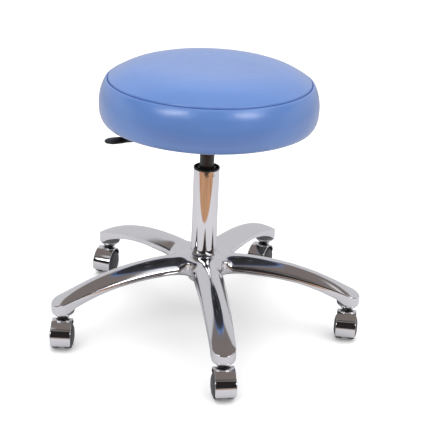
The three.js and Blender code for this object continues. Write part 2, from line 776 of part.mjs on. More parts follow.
function seatBoard() {
  const disc = solid(
    turned(
      [
        [0, BOARD_Z],
        [BOARD_R - 3, BOARD_Z],
        [BOARD_R, BOARD_Z + 3],
        [BOARD_R, BOARD_Z + BOARD_T],
        [0, BOARD_Z + BOARD_T],
      ],
      SEAT_SEGMENTS,
    ),
  );
  const tools = BOLT_SIGNS.flatMap(([sx, sy]) => {
    const at = [sx * BOLT_OFFSET, sy * BOLT_OFFSET, 0];
    const [low, high] = [BOARD_Z - 5, BOARD_Z + BOARD_T + 5];
    const hole = solid(rod(NUT_BARREL_R + FIT_GAP, low, high, 10));
    const recess = solid(rod(NUT_FLANGE_R + 0.4, BOARD_Z + BOARD_T - 1.8, high, 10));
    return [hole.translate(at), recess.translate(at)];
  });
  return piece("seat_board", cut(disc, ...tools), PLYWOOD);
}

// Black cloth disc that closes the seat's underside.
function undersideCover() {
  const low = PLATE_TOP + 0.4;
  const high = low + UNDERSIDE_T;
  const disc = solid(rod(UNDERSIDE_R, low, high, SEAT_SEGMENTS));
  const holes = BOLT_SIGNS.map(([sx, sy]) =>
    solid(rod(3.6, low - 5, high + 5, 10)).translate([sx * BOLT_OFFSET, sy * BOLT_OFFSET, 0]),
  );
  return piece("underside_cover", cut(disc, ...holes), FELT);
}

// ---------------------------------------------------------------- castors, in the castor's own frame

const sector = (inner, outer, from, to) => {
  const shape = new THREE.Shape();
  shape.absarc(TRAIL, WHEEL_R, outer, from, to, false);
  shape.absarc(TRAIL, WHEEL_R, inner, to, from, true);
  shape.closePath();
  return shape;
};

const axleHole = (radius) =>
  solid(rod(radius, -40, 40, 12).rotateX(Math.PI / 2)).translate([TRAIL, 0, WHEEL_R]);

// Side view of the hood: an arc inside, and outside a curve that leaves its arc towards the top.
function hoodShape() {
  const shape = new THREE.Shape();
  const steps = 24;
  for (let i = 0; i <= steps; i++) {
    const angle = HOOD_TAIL + ((HOOD_NOSE - HOOD_TAIL) * i) / steps;
    const share = THREE.MathUtils.smoothstep(THREE.MathUtils.radToDeg(angle), SWELL_START, SWELL_END);
    const radius = HOOD_R + HOOD_SWELL * share;
    const [x, z] = [TRAIL + radius * Math.cos(angle), WHEEL_R + radius * Math.sin(angle)];
    i === 0 ? shape.moveTo(x, z) : shape.lineTo(x, z);
  }
  shape.absarc(TRAIL, WHEEL_R, HOOD_IN, HOOD_NOSE, HOOD_TAIL, true);
  return shape;
}

// Chrome hood over both wheels, the web between them and the neck that turns on the stem.
function hood(name) {
  const shell = solid(upright(hoodShape(), 2 * HOOD_HALF, 12));
  const webShape = sector(HUB_R - 1, HOOD_IN + 0.4, HOOD_TAIL, HOOD_NOSE + 0.25);
  const web = solid(upright(webShape, 2 * WEB_HALF, 12));
  const barrel = rod(HUB_R, -WEB_HALF, WEB_HALF, 8).rotateX(Math.PI / 2);
  const hub = solid(barrel).translate([TRAIL, 0, WHEEL_R]);
  const neck = solid(
    turned(
      [
        [0, 30],
        [WEB_HALF, 30],
        [WEB_HALF, 44],
        [NECK_R, 48],
        [NECK_R, NECK_TOP],
        [0, NECK_TOP],
      ],
      12,
    ),
  );
  // The neck's foot may not reach into the space of the wheels.
  const wheelRoom = [-1, 1].map((side) =>
    solid(
      rod(HOOD_IN - 0.1, 0, 30, 18)
        .rotateX(side * (-Math.PI / 2))
        .translate(TRAIL, side * WEB_HALF, WHEEL_R),
    ),
  );
  const spindleBore = solid(rod(SPINDLE_R + 0.5, 45.5, NECK_TOP + 5, 12));
  const whole = union(shell, web, hub, cut(neck, ...wheelRoom));
  return piece(name, cut(whole, spindleBore, axleHole(AXLE_R + FIT_GAP)), CHROME);
}

function stem(name) {
  const profile = [
    [0, 46],
    [SPINDLE_R, 46],
    [SPINDLE_R, NECK_TOP + 0.4],
    [FLANGE_R, NECK_TOP + 0.4],
    [FLANGE_R, BOSS_Z - FIT_GAP],
    [STEM_R, BOSS_Z - FIT_GAP],
    [STEM_R, GROOVE_LOW],
    [STEM_R - 0.9, GROOVE_LOW],
    [STEM_R - 0.9, GROOVE_HIGH],
    [STEM_R, GROOVE_HIGH],
    [STEM_R, STEM_TOP],
    [0, STEM_TOP],
  ];
  return piece(name, turned(profile, 10), STEEL);
}

// Split spring ring in the stem's groove, which grips the socket.
function gripRing(name) {
  const profile = ring(STEM_R - 0.6, STEM_R + 0.3, GROOVE_LOW + 0.4, GROOVE_HIGH - 0.4);
  const band = solid(turned(profile, 10));
  const slit = solid(block([0, -1, BOSS_Z], [10, 1, STEM_TOP]));
  return piece(name, cut(band, slit), STEEL);
}

const axle = (name) =>
  piece(
    name,
    rod(AXLE_R, -AXLE_HALF, AXLE_HALF, 12)
      .rotateX(Math.PI / 2)
      .translate(TRAIL, 0, WHEEL_R),
    STEEL,
  );

// One wheel, turned about y, with a flat of its tread on the floor and a domed face that closes its
// axle bore.
function wheel(name, side) {
  const bore = AXLE_R + 0.4;
  const tread = WHEEL_R / Math.cos(Math.PI / WHEEL_FLATS);
  const profile = closed([
    [bore, WHEEL_IN],
    [tread, WHEEL_IN],
    [tread, TREAD_OUT],
    [22, TREAD_OUT + 0.6],
    [15, WHEEL_OUT - 1.2],
    [0, WHEEL_OUT],
    [0, 18],
    [bore, 18],
  ]);
  const points = profile.map(([r, y]) => new THREE.Vector2(r, side * y));
  const shape = new THREE.LatheGeometry(points, WHEEL_FLATS, Math.PI / WHEEL_FLATS);
  return piece(name, shape.translate(TRAIL, 0, WHEEL_R), WHEEL_PLASTIC);
}

function castor(number) {
  const arm = FIRST_ARM + (number - 1) * ARM_STEP;
  const group = new THREE.Group();
  group.position.set(TIP_X * Math.cos(arm), TIP_X * Math.sin(arm), 0);
  group.rotation.z = THREE.MathUtils.degToRad(CASTOR_HEADING[number - 1]);
  const name = (part) => `castor_${number}_${part}`;
  group.add(
    stem(name("stem")),
    gripRing(name("grip_ring")),
    hood(name("hood")),
    axle(name("axle")),
    wheel(name("wheel_a"), 1),
    wheel(name("wheel_b"), -1),
  );
  return group;
}

// ---------------------------------------------------------------- assembly

const stool = new THREE.Group();

const base = new THREE.Group();
base.rotation.z = FIRST_ARM;
base.add(baseCasting());

const column = new THREE.Group();
column.add(columnTube(), guideBush(), thrustBearing(), rubberBuffer(), retainingClip());
column.add(pistonRod(), piston(), gasCylinder(), rodSeal(), releasePin());

const lever = new THREE.Group();
lever.position.set(LEVER_PIVOT_X, 0, LEVER_PIVOT_Z);
lever.rotation.y = LEVER_DROOP;
lever.add(leverRod(), leverPaddle());

const seat = new THREE.Group();
seat.rotation.z = SEAT_TURN;
seat.add(seatSocket(), seatPlate(), leverPin(), lever, ...seatFixings());
seat.add(seatBoard(), undersideCover(), seatFoam(), coverBand(), coverTop());

stool.position.set(COLUMN_X, COLUMN_Y, 0);
stool.add(base, column, seat);
for (let number = 1; number <= ARMS; number++) stool.add(castor(number));

export default stool;
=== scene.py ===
"""Looks for the dentist stool: fine meshes, materials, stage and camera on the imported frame."""

from math import acos, atan2, cos, degrees, hypot, pi, radians, sin, sqrt, tan

import bmesh
import bpy
import numpy as np
from mathutils import Matrix, Vector, noise

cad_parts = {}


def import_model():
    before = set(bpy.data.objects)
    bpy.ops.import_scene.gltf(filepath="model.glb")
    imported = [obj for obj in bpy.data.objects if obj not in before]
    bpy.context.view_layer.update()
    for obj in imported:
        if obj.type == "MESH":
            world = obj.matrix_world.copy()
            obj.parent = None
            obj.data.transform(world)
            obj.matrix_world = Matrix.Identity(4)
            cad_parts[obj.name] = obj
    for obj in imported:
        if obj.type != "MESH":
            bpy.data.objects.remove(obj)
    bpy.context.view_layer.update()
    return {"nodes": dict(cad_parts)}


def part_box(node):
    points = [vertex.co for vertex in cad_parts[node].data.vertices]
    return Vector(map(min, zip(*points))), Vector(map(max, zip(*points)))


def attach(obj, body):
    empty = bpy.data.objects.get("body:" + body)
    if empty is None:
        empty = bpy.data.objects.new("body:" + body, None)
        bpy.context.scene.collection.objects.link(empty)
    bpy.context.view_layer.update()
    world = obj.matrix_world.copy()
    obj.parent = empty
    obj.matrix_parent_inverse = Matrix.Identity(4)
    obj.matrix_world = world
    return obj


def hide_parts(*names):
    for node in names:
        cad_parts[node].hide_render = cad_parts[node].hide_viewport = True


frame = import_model()
scene = bpy.context.scene
MM = 0.001


# ---------- places from the frame, in millimetres


def centre(node):
    low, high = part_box(node)
    return (low + high) / 2 / MM


def top(node):
    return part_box(node)[1].z / MM


def foot(node):
    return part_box(node)[0].z / MM


ARMS = 5
ARM_STEP = 2 * pi / ARMS
HALF_STEP = ARM_STEP / 2
COLUMN = centre("column_tube").to_2d()
STEMS = [centre(f"castor_{k}_stem").to_2d() for k in range(1, ARMS + 1)]
AXLES = [centre(f"castor_{k}_axle") for k in range(1, ARMS + 1)]
TIP_X = (STEMS[0] - COLUMN).length
TRAIL = (AXLES[0].to_2d() - STEMS[0]).length
WHEEL_R = AXLES[0].z
COLUMN_TOP = top("column_tube")
COLUMN_FOOT = foot("column_tube")
COLUMN_R = 25
CRIMP_Z = COLUMN_TOP - 7.7
CAMERA_TURN = radians(-9.02)
CYLINDER_R = 14
SEAM_Z = foot("cover_top") + 1.3
BOSS_Z = foot("base_casting")
NECK_TOP = BOSS_Z - 3.2
LEVER_PIN = centre("lever_pin")
LEVER_TURN = atan2(LEVER_PIN.y - COLUMN.y, LEVER_PIN.x - COLUMN.x)


def spun(angle):
    return Matrix.Rotation(angle, 4, "Z")


def shifted(*by):
    return Matrix.Translation(by)


LIE_ALONG_X = Matrix.Rotation(pi / 2, 4, "Y")
LIE_ACROSS = Matrix.Rotation(pi / 2, 4, "X")


def at_column(turn=0.0):
    return shifted(*COLUMN, 0) @ spun(turn)


def at_castor(k):
    heading = AXLES[k - 1].to_2d() - STEMS[k - 1]
    return shifted(*STEMS[k - 1], 0) @ spun(atan2(heading.y, heading.x))


def at_axle(k):
    """Castor frame moved to the axle, with z along it."""
    return at_castor(k) @ shifted(TRAIL, 0, WHEEL_R) @ LIE_ACROSS


def new_object(name, data):
    made = bpy.data.objects.new(name, data)
    scene.collection.objects.link(made)
    return made


# ---------- node materials


class Nodes:
    """Short ways to add and link the nodes of one tree."""

    def __init__(self, tree):
        self.tree = tree

    def node(self, kind, **settings):
        made = self.tree.nodes.new(kind)
        for key, value in settings.items():
            setattr(made, key, value)
        return made

    def link(self, output, target):
        self.tree.links.new(output, target)

    def feed(self, socket, value):
        """Gives a socket a number, an RGB colour or another socket's output."""
        if isinstance(value, (int, float)):
            socket.default_value = value
        elif isinstance(value, tuple):
            socket.default_value = (*value, 1)
        else:
            self.link(value, socket)

    def maths(self, kind, *values):
        made = self.node("ShaderNodeMath", operation=kind)
        for socket, value in zip(made.inputs, values):
            self.feed(socket, value)
        return made.outputs[0]

    def spread(self, value, low=0, high=1, start=0, end=1, smooth=False):
        """A value carried from one range to another."""
        made = self.node("ShaderNodeMapRange", interpolation_type="SMOOTHSTEP" if smooth else "LINEAR")
        for name, number in (("From Min", low), ("From Max", high), ("To Min", start), ("To Max", end)):
            made.inputs[name].default_value = number
        self.link(value, made.inputs["Value"])
        return made.outputs["Result"]

    def mixed(self, factor, first, second):
        """The first colour turned into the second by the factor."""
        made = self.node("ShaderNodeMix", data_type="RGBA")
        self.link(factor, made.inputs["Factor"])
        self.feed(made.inputs["A"], first)
        self.feed(made.inputs["B"], second)
        return made.outputs["Result"]


SHARED_SLOTS = {"disc_plastic": "wheel_plastic", "tread": "wheel_plastic", "thread": "vinyl"}


class Look(Nodes):
    """A principled material with its object coordinates at hand."""

    def __init__(self, name, color, roughness, metallic=0.0, **inputs):
        self.material = bpy.data.materials.new(name)
        self.material.use_nodes = True
        super().__init__(self.material.node_tree)
        self.slot = SHARED_SLOTS.get(name, name)
        self.bsdf = self.tree.nodes["Principled BSDF"]
        self.set("Base Color", (*color, 1))
        self.set("Roughness", roughness)
        self.set("Metallic", metallic)
        for key, value in inputs.items():
            self.set(key.replace("_", " "), value)
        self.place = self.node("ShaderNodeTexCoord").outputs["Object"]
        self.relief = None

    def set(self, socket, value):
        self.bsdf.inputs[socket].default_value = value

    def noise(self, scale, detail=3.0, stretch=(1, 1, 1)):
        mapping = self.node("ShaderNodeMapping")
        mapping.inputs["Scale"].default_value = stretch
        self.link(self.place, mapping.inputs["Vector"])
        made = self.node("ShaderNodeTexNoise")
        made.inputs["Scale"].default_value = scale
        made.inputs["Detail"].default_value = detail
        self.link(mapping.outputs["Vector"], made.inputs["Vector"])
        return made.outputs["Fac"]

    def cells(self, scale, feature="F1"):
        made = self.node("ShaderNodeTexVoronoi", feature=feature)
        made.inputs["Scale"].default_value = scale
        self.link(self.place, made.inputs["Vector"])
        return made.outputs["Distance"]

    def ramp(self, value, *stops):
        made = self.node("ShaderNodeValToRGB")
        elements = made.color_ramp.elements
        while len(elements) < len(stops):
            elements.new(0.5)
        for element, (at, color) in zip(elements, stops):
            element.position = at
            element.color = (*color, 1)
        self.link(value, made.inputs["Fac"])
        return made.outputs["Color"]

    def vary_color(self, value, *stops):
        self.link(self.ramp(value, *stops), self.bsdf.inputs["Base Color"])

    def vary_roughness(self, value, low, high):
        self.link(self.spread(value, start=low, end=high), self.bsdf.inputs["Roughness"])

    def bump(self, value, depth_mm, strength=1.0):
        made = self.node("ShaderNodeBump")
        made.inputs["Distance"].default_value = depth_mm * MM
        made.inputs["Strength"].default_value = strength
        self.link(value, made.inputs["Height"])
        if self.relief is not None:
            self.link(self.relief, made.inputs["Normal"])
        self.relief = made.outputs["Normal"]
        self.link(self.relief, self.bsdf.inputs["Normal"])


def shade(color, factor):
    return tuple(min(c * factor, 1) for c in color)


def polished_aluminium():
    look = Look("polished_aluminium", (0.84, 0.84, 0.855), 0.12, 1.0)
    look.vary_roughness(look.noise(70, 4), 0.08, 0.17)
    look.bump(look.noise(28, 1), 0.5, 0.25)
    look.bump(look.noise(900, 2, (1, 1, 0.15)), 0.01, 0.25)
    return look


def chrome():
    look = Look("chrome", (0.86, 0.86, 0.87), 0.05, 1.0)
    look.vary_roughness(look.noise(120), 0.025, 0.08)
    look.bump(look.noise(1200, 2, (1, 1, 0.1)), 0.006, 0.2)
    return look


def steel():
    look = Look("steel", (0.56, 0.57, 0.59), 0.35, 1.0)
    look.vary_roughness(look.noise(400), 0.25, 0.45)
    look.bump(look.noise(2500, 2, (1, 1, 0.08)), 0.02, 0.5)
    return look


def black_steel():
    look = Look("black_steel", (0.012, 0.012, 0.013), 0.32, 0.0, Coat_Weight=0.3)
    look.vary_roughness(look.noise(500), 0.26, 0.42)
    look.bump(look.noise(2200, 2), 0.03, 0.3)
    return look


def black_plastic():
    look = Look("black_plastic", (0.012, 0.012, 0.013), 0.36)
    look.vary_roughness(look.noise(700, 2), 0.3, 0.45)
    look.bump(look.noise(3000, 2), 0.03, 0.4)
    return look


def disc_plastic():
    color = (0.05, 0.05, 0.056)
    look = Look("disc_plastic", color, 0.5)
    grain = look.noise(1300)
    look.vary_color(grain, (0.35, shade(color, 0.6)), (0.65, shade(color, 1.35)))
    look.bump(grain, 0.12, 0.7)
    return look


def tread():
    look = Look("tread", (0.014, 0.014, 0.015), 0.6)
    dust = look.noise(90, 4)
    look.vary_color(dust, (0.4, (0.011, 0.011, 0.012)), (0.75, (0.03, 0.029, 0.028)))
    look.vary_roughness(dust, 0.5, 0.75)
    look.bump(look.noise(2500, 2), 0.04, 0.5)
    return look


VINYL = (0.072, 0.172, 0.445)


def vinyl():
    look = Look("vinyl", VINYL, 0.42, 0.0, Coat_Weight=1.0, Coat_Roughness=0.27, Coat_IOR=1.7)
    cloud = look.noise(9)
    look.vary_color(cloud, (0.3, shade(VINYL, 0.96)), (0.7, shade(VINYL, 1.05)))
    grain = look.cells(950, "SMOOTH_F1")
    look.vary_roughness(look.noise(60), 0.34, 0.46)
    look.bump(grain, 0.05, 0.35)
    look.bump(look.noise(2600, 2), 0.02, 0.4)
    return look


def thread():
    look = Look("thread", (0.03, 0.07, 0.25), 0.65)
    twist = look.noise(4000, 1, (1, 1, 0.3))
    look.vary_color(twist, (0.35, (0.02, 0.05, 0.2)), (0.65, (0.045, 0.1, 0.32)))
    look.bump(twist, 0.08, 0.8)
    return look


def foam():
    color = (0.86, 0.74, 0.42)
    look = Look("foam", color, 0.95)
    pores = look.cells(900)
    # Painted shade: the colour is darkened at the pore centres, where shade falls into the holes.
    look.vary_color(pores, (0.0, shade(color, 0.55)), (0.5, color))
    look.bump(pores, 0.5, 0.9)
    return look


def plywood():
    look = Look("plywood", (0.55, 0.36, 0.19), 0.65)
    plies = look.noise(25, 4, (1, 1, 22))
    look.vary_color(plies, (0.35, (0.36, 0.2, 0.09)), (0.65, (0.66, 0.46, 0.26)))
    look.bump(look.noise(350, 3, (1, 0.1, 1)), 0.15, 0.5)
    return look


def felt():
    look = Look("felt", (0.03, 0.032, 0.038), 0.95)
    fibres = look.noise(1500, 4, (1, 0.35, 1))
    look.vary_color(fibres, (0.35, (0.018, 0.019, 0.024)), (0.7, (0.05, 0.053, 0.062)))
    look.bump(fibres, 0.25, 0.8)
    return look


def as_cast_and_shade():
    # Dull dark grey: the real finish of the casting's insides, which are not polished, and painted shade
    # where it is put on the downward lips and on the bosses' sides towards the hub.
    look = Look("as_cast_and_shade_aluminium", (0.17, 0.17, 0.175), 0.5, 0.6)
    grain = look.noise(350, 4)
    look.vary_color(grain, (0.35, (0.12, 0.12, 0.125)), (0.65, (0.23, 0.23, 0.235)))
    look.bump(grain, 0.25, 0.7)
    return look


def rubber():
    look = Look("rubber", (0.013, 0.013, 0.013), 0.75)
    look.vary_roughness(look.noise(300), 0.65, 0.85)
    look.bump(look.noise(1800, 2), 0.05, 0.5)
    return look


ALUMINIUM = polished_aluminium()
CHROME = chrome()
STEEL = steel()
BLACK_STEEL = black_steel()
BLACK_PLASTIC = black_plastic()
DISC = disc_plastic()
TREAD = tread()
BLUE = vinyl()
THREAD = thread()
FOAM = foam()
PLY = plywood()
FELT = felt()
RUBBER = rubber()
AS_CAST_AND_SHADE = as_cast_and_shade()


# ---------- mesh tools, in millimetres


def mesh_of(points, faces):
    mesh = bpy.data.meshes.new("mesh")
    mesh.from_pydata([Vector(p) * MM for p in points], [], faces)
    return mesh


def tidy(mesh, crease=40, near=1e-6, close=False):
    """Merges points that are near each other, turns the faces outwards and smooths all but the sharp edges.
    Closing adds a band of faces between two open rims."""
    work = bmesh.new()
    work.from_mesh(mesh)
    bmesh.ops.remove_doubles(work, verts=work.verts, dist=near)
    bmesh.ops.dissolve_degenerate(work, edges=work.edges, dist=1e-7)
    if close:
        bmesh.ops.bridge_loops(work, edges=[e for e in work.edges if e.is_boundary])
    bmesh.ops.recalc_face_normals(work, faces=work.faces)
    work.to_mesh(mesh)
    work.free()
    mesh.shade_smooth()
    mesh.set_sharp_from_angle(angle=radians(crease))
    return mesh


def in_metres(place):
    return Matrix.Scale(MM, 4) @ place @ Matrix.Scale(1 / MM, 4)


def add(name, mesh, look, body, nodes=(), place=None):
    """A finished piece that rides a body in place of some of the frame's nodes.
    Without a place it stands about the column."""
    thing = new_object(name, mesh)
    mesh.transform(in_metres(place or at_column()))
    mesh.materials.clear()
    mesh.materials.append(look.material)
    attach(thing, body)
    if nodes:
        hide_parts(*nodes)
    return thing


def rounded(corners, steps=5, closed=True):
    """Points of an outline given as (x, y, rounding) corners."""
    points = []
    count = len(corners)
    for i, (x, y, radius) in enumerate(corners):
        corner = Vector((x, y))
        if radius == 0 or (not closed and i in (0, count - 1)):
            points.append((x, y))
            continue
        before = Vector(corners[i - 1][:2]) - corner
        after = Vector(corners[(i + 1) % count][:2]) - corner
        reach = radius / tan(before.angle(after) / 2)
        reach = min(reach, 0.49 * before.length, 0.49 * after.length)
        start = corner + before.normalized() * reach
        end = corner + after.normalized() * reach
        for k in range(steps + 1):
            t = k / steps
            bend = start * (1 - t) ** 2 + corner * 2 * t * (1 - t) + end * t**2
            points.append(tuple(bend))
    return points


def bands(rings, closed=False):
    """Faces between neighbouring rings of point numbers. A ring of one point is a tip."""
    faces = []
    pairs = list(zip(rings, rings[1:])) + ([(rings[-1], rings[0])] if closed else [])
    for low, high in pairs:
        count = max(len(low), len(high))
        for s in range(count):
            n = (s + 1) % count
            quad = [low[s % len(low)], low[n % len(low)], high[n % len(high)], high[s % len(high)]]
            face = list(dict.fromkeys(quad))
            if len(face) > 2:
                faces.append(face)
    return faces


def lathe(profile, segments=64, closed=False):
    """Turns (radius, height) points about z. An open profile starts and ends on the axis."""
    points, rings = [], []
    for r, z in profile:
        if r < 1e-6:
            rings.append([len(points)])
            points.append((0, 0, z))
            continue
        rings.append(list(range(len(points), len(points) + segments)))
        for s in range(segments):
            angle = 2 * pi * s / segments
            points.append((r * cos(angle), r * sin(angle), z))
    return tidy(mesh_of(points, bands(rings, closed)))


def turned(corners, segments=64, closed=False, steps=4):
    """A turned shape from its (radius, height, rounding) corners."""
    return lathe(rounded(corners, steps, closed), segments, closed)


def cylinder(radius, low, high, segments=24):
    return lathe([(0, low), (radius, low), (radius, high), (0, high)], segments)


def loft(loops, round_trip=False, crease=40):
    """Bridges loops of equally many points, then caps both ends or joins the last loop to the first."""
    size = len(loops[0])
    points = [p for loop in loops for p in loop]
    rings = [list(range(i * size, (i + 1) * size)) for i in range(len(loops))]
    faces = bands(rings, round_trip)
    if not round_trip:
        faces += [rings[0][::-1], rings[-1]]
    return tidy(mesh_of(points, faces), crease)


def inward(outline, distance):
    """An outline moved inwards; it runs anticlockwise."""
    count = len(outline)
    shrunk = []
    for i in range(count):
        along = Vector(outline[(i + 1) % count]) - Vector(outline[i - 1])
        normal = Vector((-along.y, along.x)).normalized()
        shrunk.append(tuple(Vector(outline[i]) + normal * distance))
    return shrunk


def slab(outline, low, high, edge):
    """A plate with rounded rims over a plan outline."""
    loops = []
    for z, side in ((low, -1), (high, 1)):
        for k in range(4):
            turn = pi / 2 * k / 3
            inset = edge * (1 - sin(turn)) if side < 0 else edge * (1 - cos(turn))
            lift = edge * (1 - cos(turn)) if side < 0 else -edge * (1 - sin(turn))
            ring = inward(outline, inset) if inset > 1e-6 else outline
            loops.append([(x, y, z + lift) for x, y in ring])
    return loft(loops)


def joined(*meshes):
    """Several closed meshes as one."""
    work = bmesh.new()
    for mesh in meshes:
        work.from_mesh(mesh)
    whole = bpy.data.meshes.new("mesh")
    work.to_mesh(whole)
    work.free()
    whole.shade_smooth()
    whole.set_sharp_from_angle(angle=radians(40))
    return whole


def moved(mesh, place):
    copy = mesh.copy()
    copy.transform(in_metres(place))
    return copy


def around(mesh, count, place, start=0.0):
    """Copies of a placed mesh, evenly spread about z, as one."""
    return joined(*[moved(mesh, spun(start + 2 * pi * k / count) @ place) for k in range(count)])


def boolean(mesh, others, operation):
    """Mesh with the others added ('UNION') or cut away ('DIFFERENCE')."""
    body = new_object("body", mesh)
    tools = []
    for other in others:
        tool = new_object("tool", other)
        tools.append(tool)
        step = body.modifiers.new("step", "BOOLEAN")
        step.operation = operation
        step.solver = "MANIFOLD"
        step.object = tool
    graph = bpy.context.evaluated_depsgraph_get()
    made = bpy.data.meshes.new_from_object(body.evaluated_get(graph))
    for thing in [body, *tools]:
        bpy.data.objects.remove(thing)
    return tidy(made)


# ---------- base casting

TIP_R = 22.1
HALF_WIDTH_AT_AXIS = 31.6
TAPER = (HALF_WIDTH_AT_AXIS - TIP_R) / TIP_X
ROOT_X = 60
CROWN, CROWN_LOSS = 19, 13.5
ROOT_DROP, ROOT_DROP_X, ROOT_SPAN = 3.5, 95, 45  # the crowns sink towards the hub
EDGE_Z, EDGE_FALL, EDGE_SPAN = 127.2, 38.7, 240
SKIRT_Z, SKIRT_X, SKIRT_FALL, SKIRT_SPAN = 117, 90, 38, 185
CROTCH_R = 9
HUB_RISE, HUB_REACH = 15, 68
FLARE, FLARE_START, FLARE_SPAN = 7, 32, 8  # the fillet towards the column
BLEND = 4
WALL = 4
EDGE_ROUND, EDGE_ROUND_ROOT = 1.5, 4.5  # on an arm's outer half and at its root
BOSS_ROUND = 7.5


def fall(x, start, span, drop, power):
    return drop * (np.maximum(x - start, 0) / span) ** power


def edge_z(x):
    return EDGE_Z - fall(x, ROOT_X, EDGE_SPAN, EDGE_FALL, 2.14)


def skirt_z(x):
    sag = 6 * (np.maximum(SKIRT_X - x, 0) / 40) ** 2
    return SKIRT_Z - fall(x, SKIRT_X, SKIRT_SPAN, SKIRT_FALL, 2.45) - sag


def half_width(x):
    return HALF_WIDTH_AT_AXIS - TAPER * x


def crown_z(x, y):
    beyond = np.hypot(x - TIP_X, y) / TIP_R
    across = np.where(x > TIP_X, beyond, y / half_width(x))
    height = CROWN - fall(x, ROOT_X, TIP_X - ROOT_X, CROWN_LOSS, 3.5)
    height = height - fall(-x, -ROOT_DROP_X, ROOT_SPAN, ROOT_DROP, 2)
    return edge_z(x) + height * (1 - across**2)


def top_z(x, y):
    """The casting's top over arrays of points in one arm's frame."""
    r = np.hypot(x, y)
    levels = [EDGE_Z + HUB_RISE * (1 - (r / HUB_REACH) ** 9)]
    for turn in (-ARM_STEP, 0, ARM_STEP):
        along = x * cos(turn) + y * sin(turn)
        across = y * cos(turn) - x * sin(turn)
        levels.append(np.where(along > 0, crown_z(along, across), -1e3))
    levels = np.array(levels)
    peak = levels.max(0)
    soft = peak + BLEND * np.log(np.exp((levels - peak) / BLEND).sum(0))
    share = np.clip((x - 1.4 * HUB_REACH) / HUB_REACH, 0, 1)
    flare = FLARE * (np.maximum(FLARE_START - r, 0) / FLARE_SPAN) ** 2
    return soft * (1 - share) + crown_z(x, y) * share + flare


def half_sector(inset):
    """Stations along half of one arm's outline: inner point, outline point and outward normal, in plan."""
    centre_r = (half_width(ROOT_X) + CROTCH_R) / sin(HALF_STEP)
    cx, cy = centre_r * cos(HALF_STEP), centre_r * sin(HALF_STEP)
    bore = COLUMN_R - 1 + inset
    stations = []
    for t in np.linspace(0, 1, 10):
        turn = pi + HALF_STEP + t * (pi / 2 - HALF_STEP)
        normal = (-cos(turn), -sin(turn))
        radius = CROTCH_R + inset
        outline = (cx - radius * normal[0], cy - radius * normal[1])
        inner = HALF_STEP * (1 - t)
        stations.append(((bore * cos(inner), bore * sin(inner)), outline, normal))
    lean = Vector((TAPER, 1)).normalized()
    for t in np.linspace(0, 1, 56)[1:] ** 1.4:
        x = cx + (TIP_X - cx) * t
        spine = (bore + (TIP_X - bore) * t, 0)
        stations.append((spine, (x, half_width(x) - inset), tuple(lean)))
    for t in np.linspace(0, 1, 14)[1:]:
        turn = pi / 2 * (1 - t)
        normal = (cos(turn), sin(turn))
        radius = TIP_R - inset
        stations.append(((TIP_X, 0), (TIP_X + radius * normal[0], radius * normal[1]), normal))
    return stations


def bezier(a, b, c, steps):
    t = np.linspace(0, 1, steps + 1)[:, None]
    return np.array(a) * (1 - t) ** 2 + 2 * np.array(b) * t * (1 - t) + np.array(c) * t**2


def section(spine, outline, normal, hollow):
    """Points down from the spine over the crown, edge and skirt and back underneath."""
    spine, outline, normal = map(np.array, (spine, outline, normal))
    root = float(np.clip((200 - outline[0]) / 120, 0, 1))
    edge = 0.5 if hollow else EDGE_ROUND + (EDGE_ROUND_ROOT - EDGE_ROUND) * root
    inside = outline - normal * edge
    t = np.linspace(0, 1, 13)[:, None]
    plan = spine * (1 - t) + inside * t
    drop = WALL + 0.5 if hollow else 0
    crown = np.column_stack([plan, top_z(plan[:, 0], plan[:, 1]) - drop])
    crease = float(top_z(outline[:1], outline[1:2])[0]) - drop
    at_boss = float(np.clip((outline[0] - TIP_X + 14) / 14, 0, 1))
    low = 30.0 if hollow else float(skirt_z(outline[0])) * (1 - at_boss) + (BOSS_Z + BOSS_ROUND) * at_boss
    rim = (*outline, crease)
    turn_down = bezier(crown[-1], rim, (*outline, crease - edge), 6)[1:]
    lip = 0.4 + 4.5 * float(np.clip((120 - outline[0]) / 60, 0, 1))
    v = np.linspace(0, 1, 8)[1:-1]
    heights = (crease - edge) * (1 - v) + (low + lip) * v
    bulge = 0.0 if hollow else 0.6 * (1 - at_boss)
    out = outline + normal * (bulge * np.sin(pi * v))[:, None]
    skirt = np.column_stack([out, heights])
    under = bezier((*outline, low + lip), (*outline, low), (*(outline - normal * lip), low), 4)
    t = np.linspace(0, 1, 5)[1:, None]
    start = outline - normal * lip
    below = np.column_stack([start * (1 - t) + spine * t, np.full(4, low)])
    return np.vstack([crown, turn_down, skirt, under, below])


def star(hollow=False):
    """The whole five-armed shape as one mesh, closed along the column's bore."""
    sections = np.array([section(*s, hollow) for s in half_sector(WALL if hollow else 0)])
    stations, size, _ = sections.shape
    points, faces = [], []
    for arm in range(ARMS):
        turn = arm * ARM_STEP - pi / 2
        for side in (1, -1):
            x, y, z = sections[..., 0], side * sections[..., 1], sections[..., 2]
            start = len(points)
            row = np.stack([x * cos(turn) - y * sin(turn),
                            x * sin(turn) + y * cos(turn), z], -1)
            points.extend(map(tuple, row.reshape(-1, 3)))
            for i in range(stations - 1):
                for j in range(size - 1):
                    a = start + i * size + j
                    face = [a, a + 1, a + size + 1, a + size]
                    faces.append(face if side > 0 else face[::-1])
    return tidy(mesh_of(points, faces), near=2e-6, close=True)


def rib(arm):
    """A stiffener along the middle of one arm, under its crown."""
    xs = np.linspace(27, TIP_X - 18, 24)
    under = skirt_z(xs) + 4
    above = crown_z(xs, 0 * xs) - 2.5
    loops = [[(x, -2, a), (x, 2, a), (x, 2, b), (x, -2, b)] for x, a, b in zip(xs, under, above)]
    return moved(loft(loops), spun(arm * ARM_STEP - pi / 2))


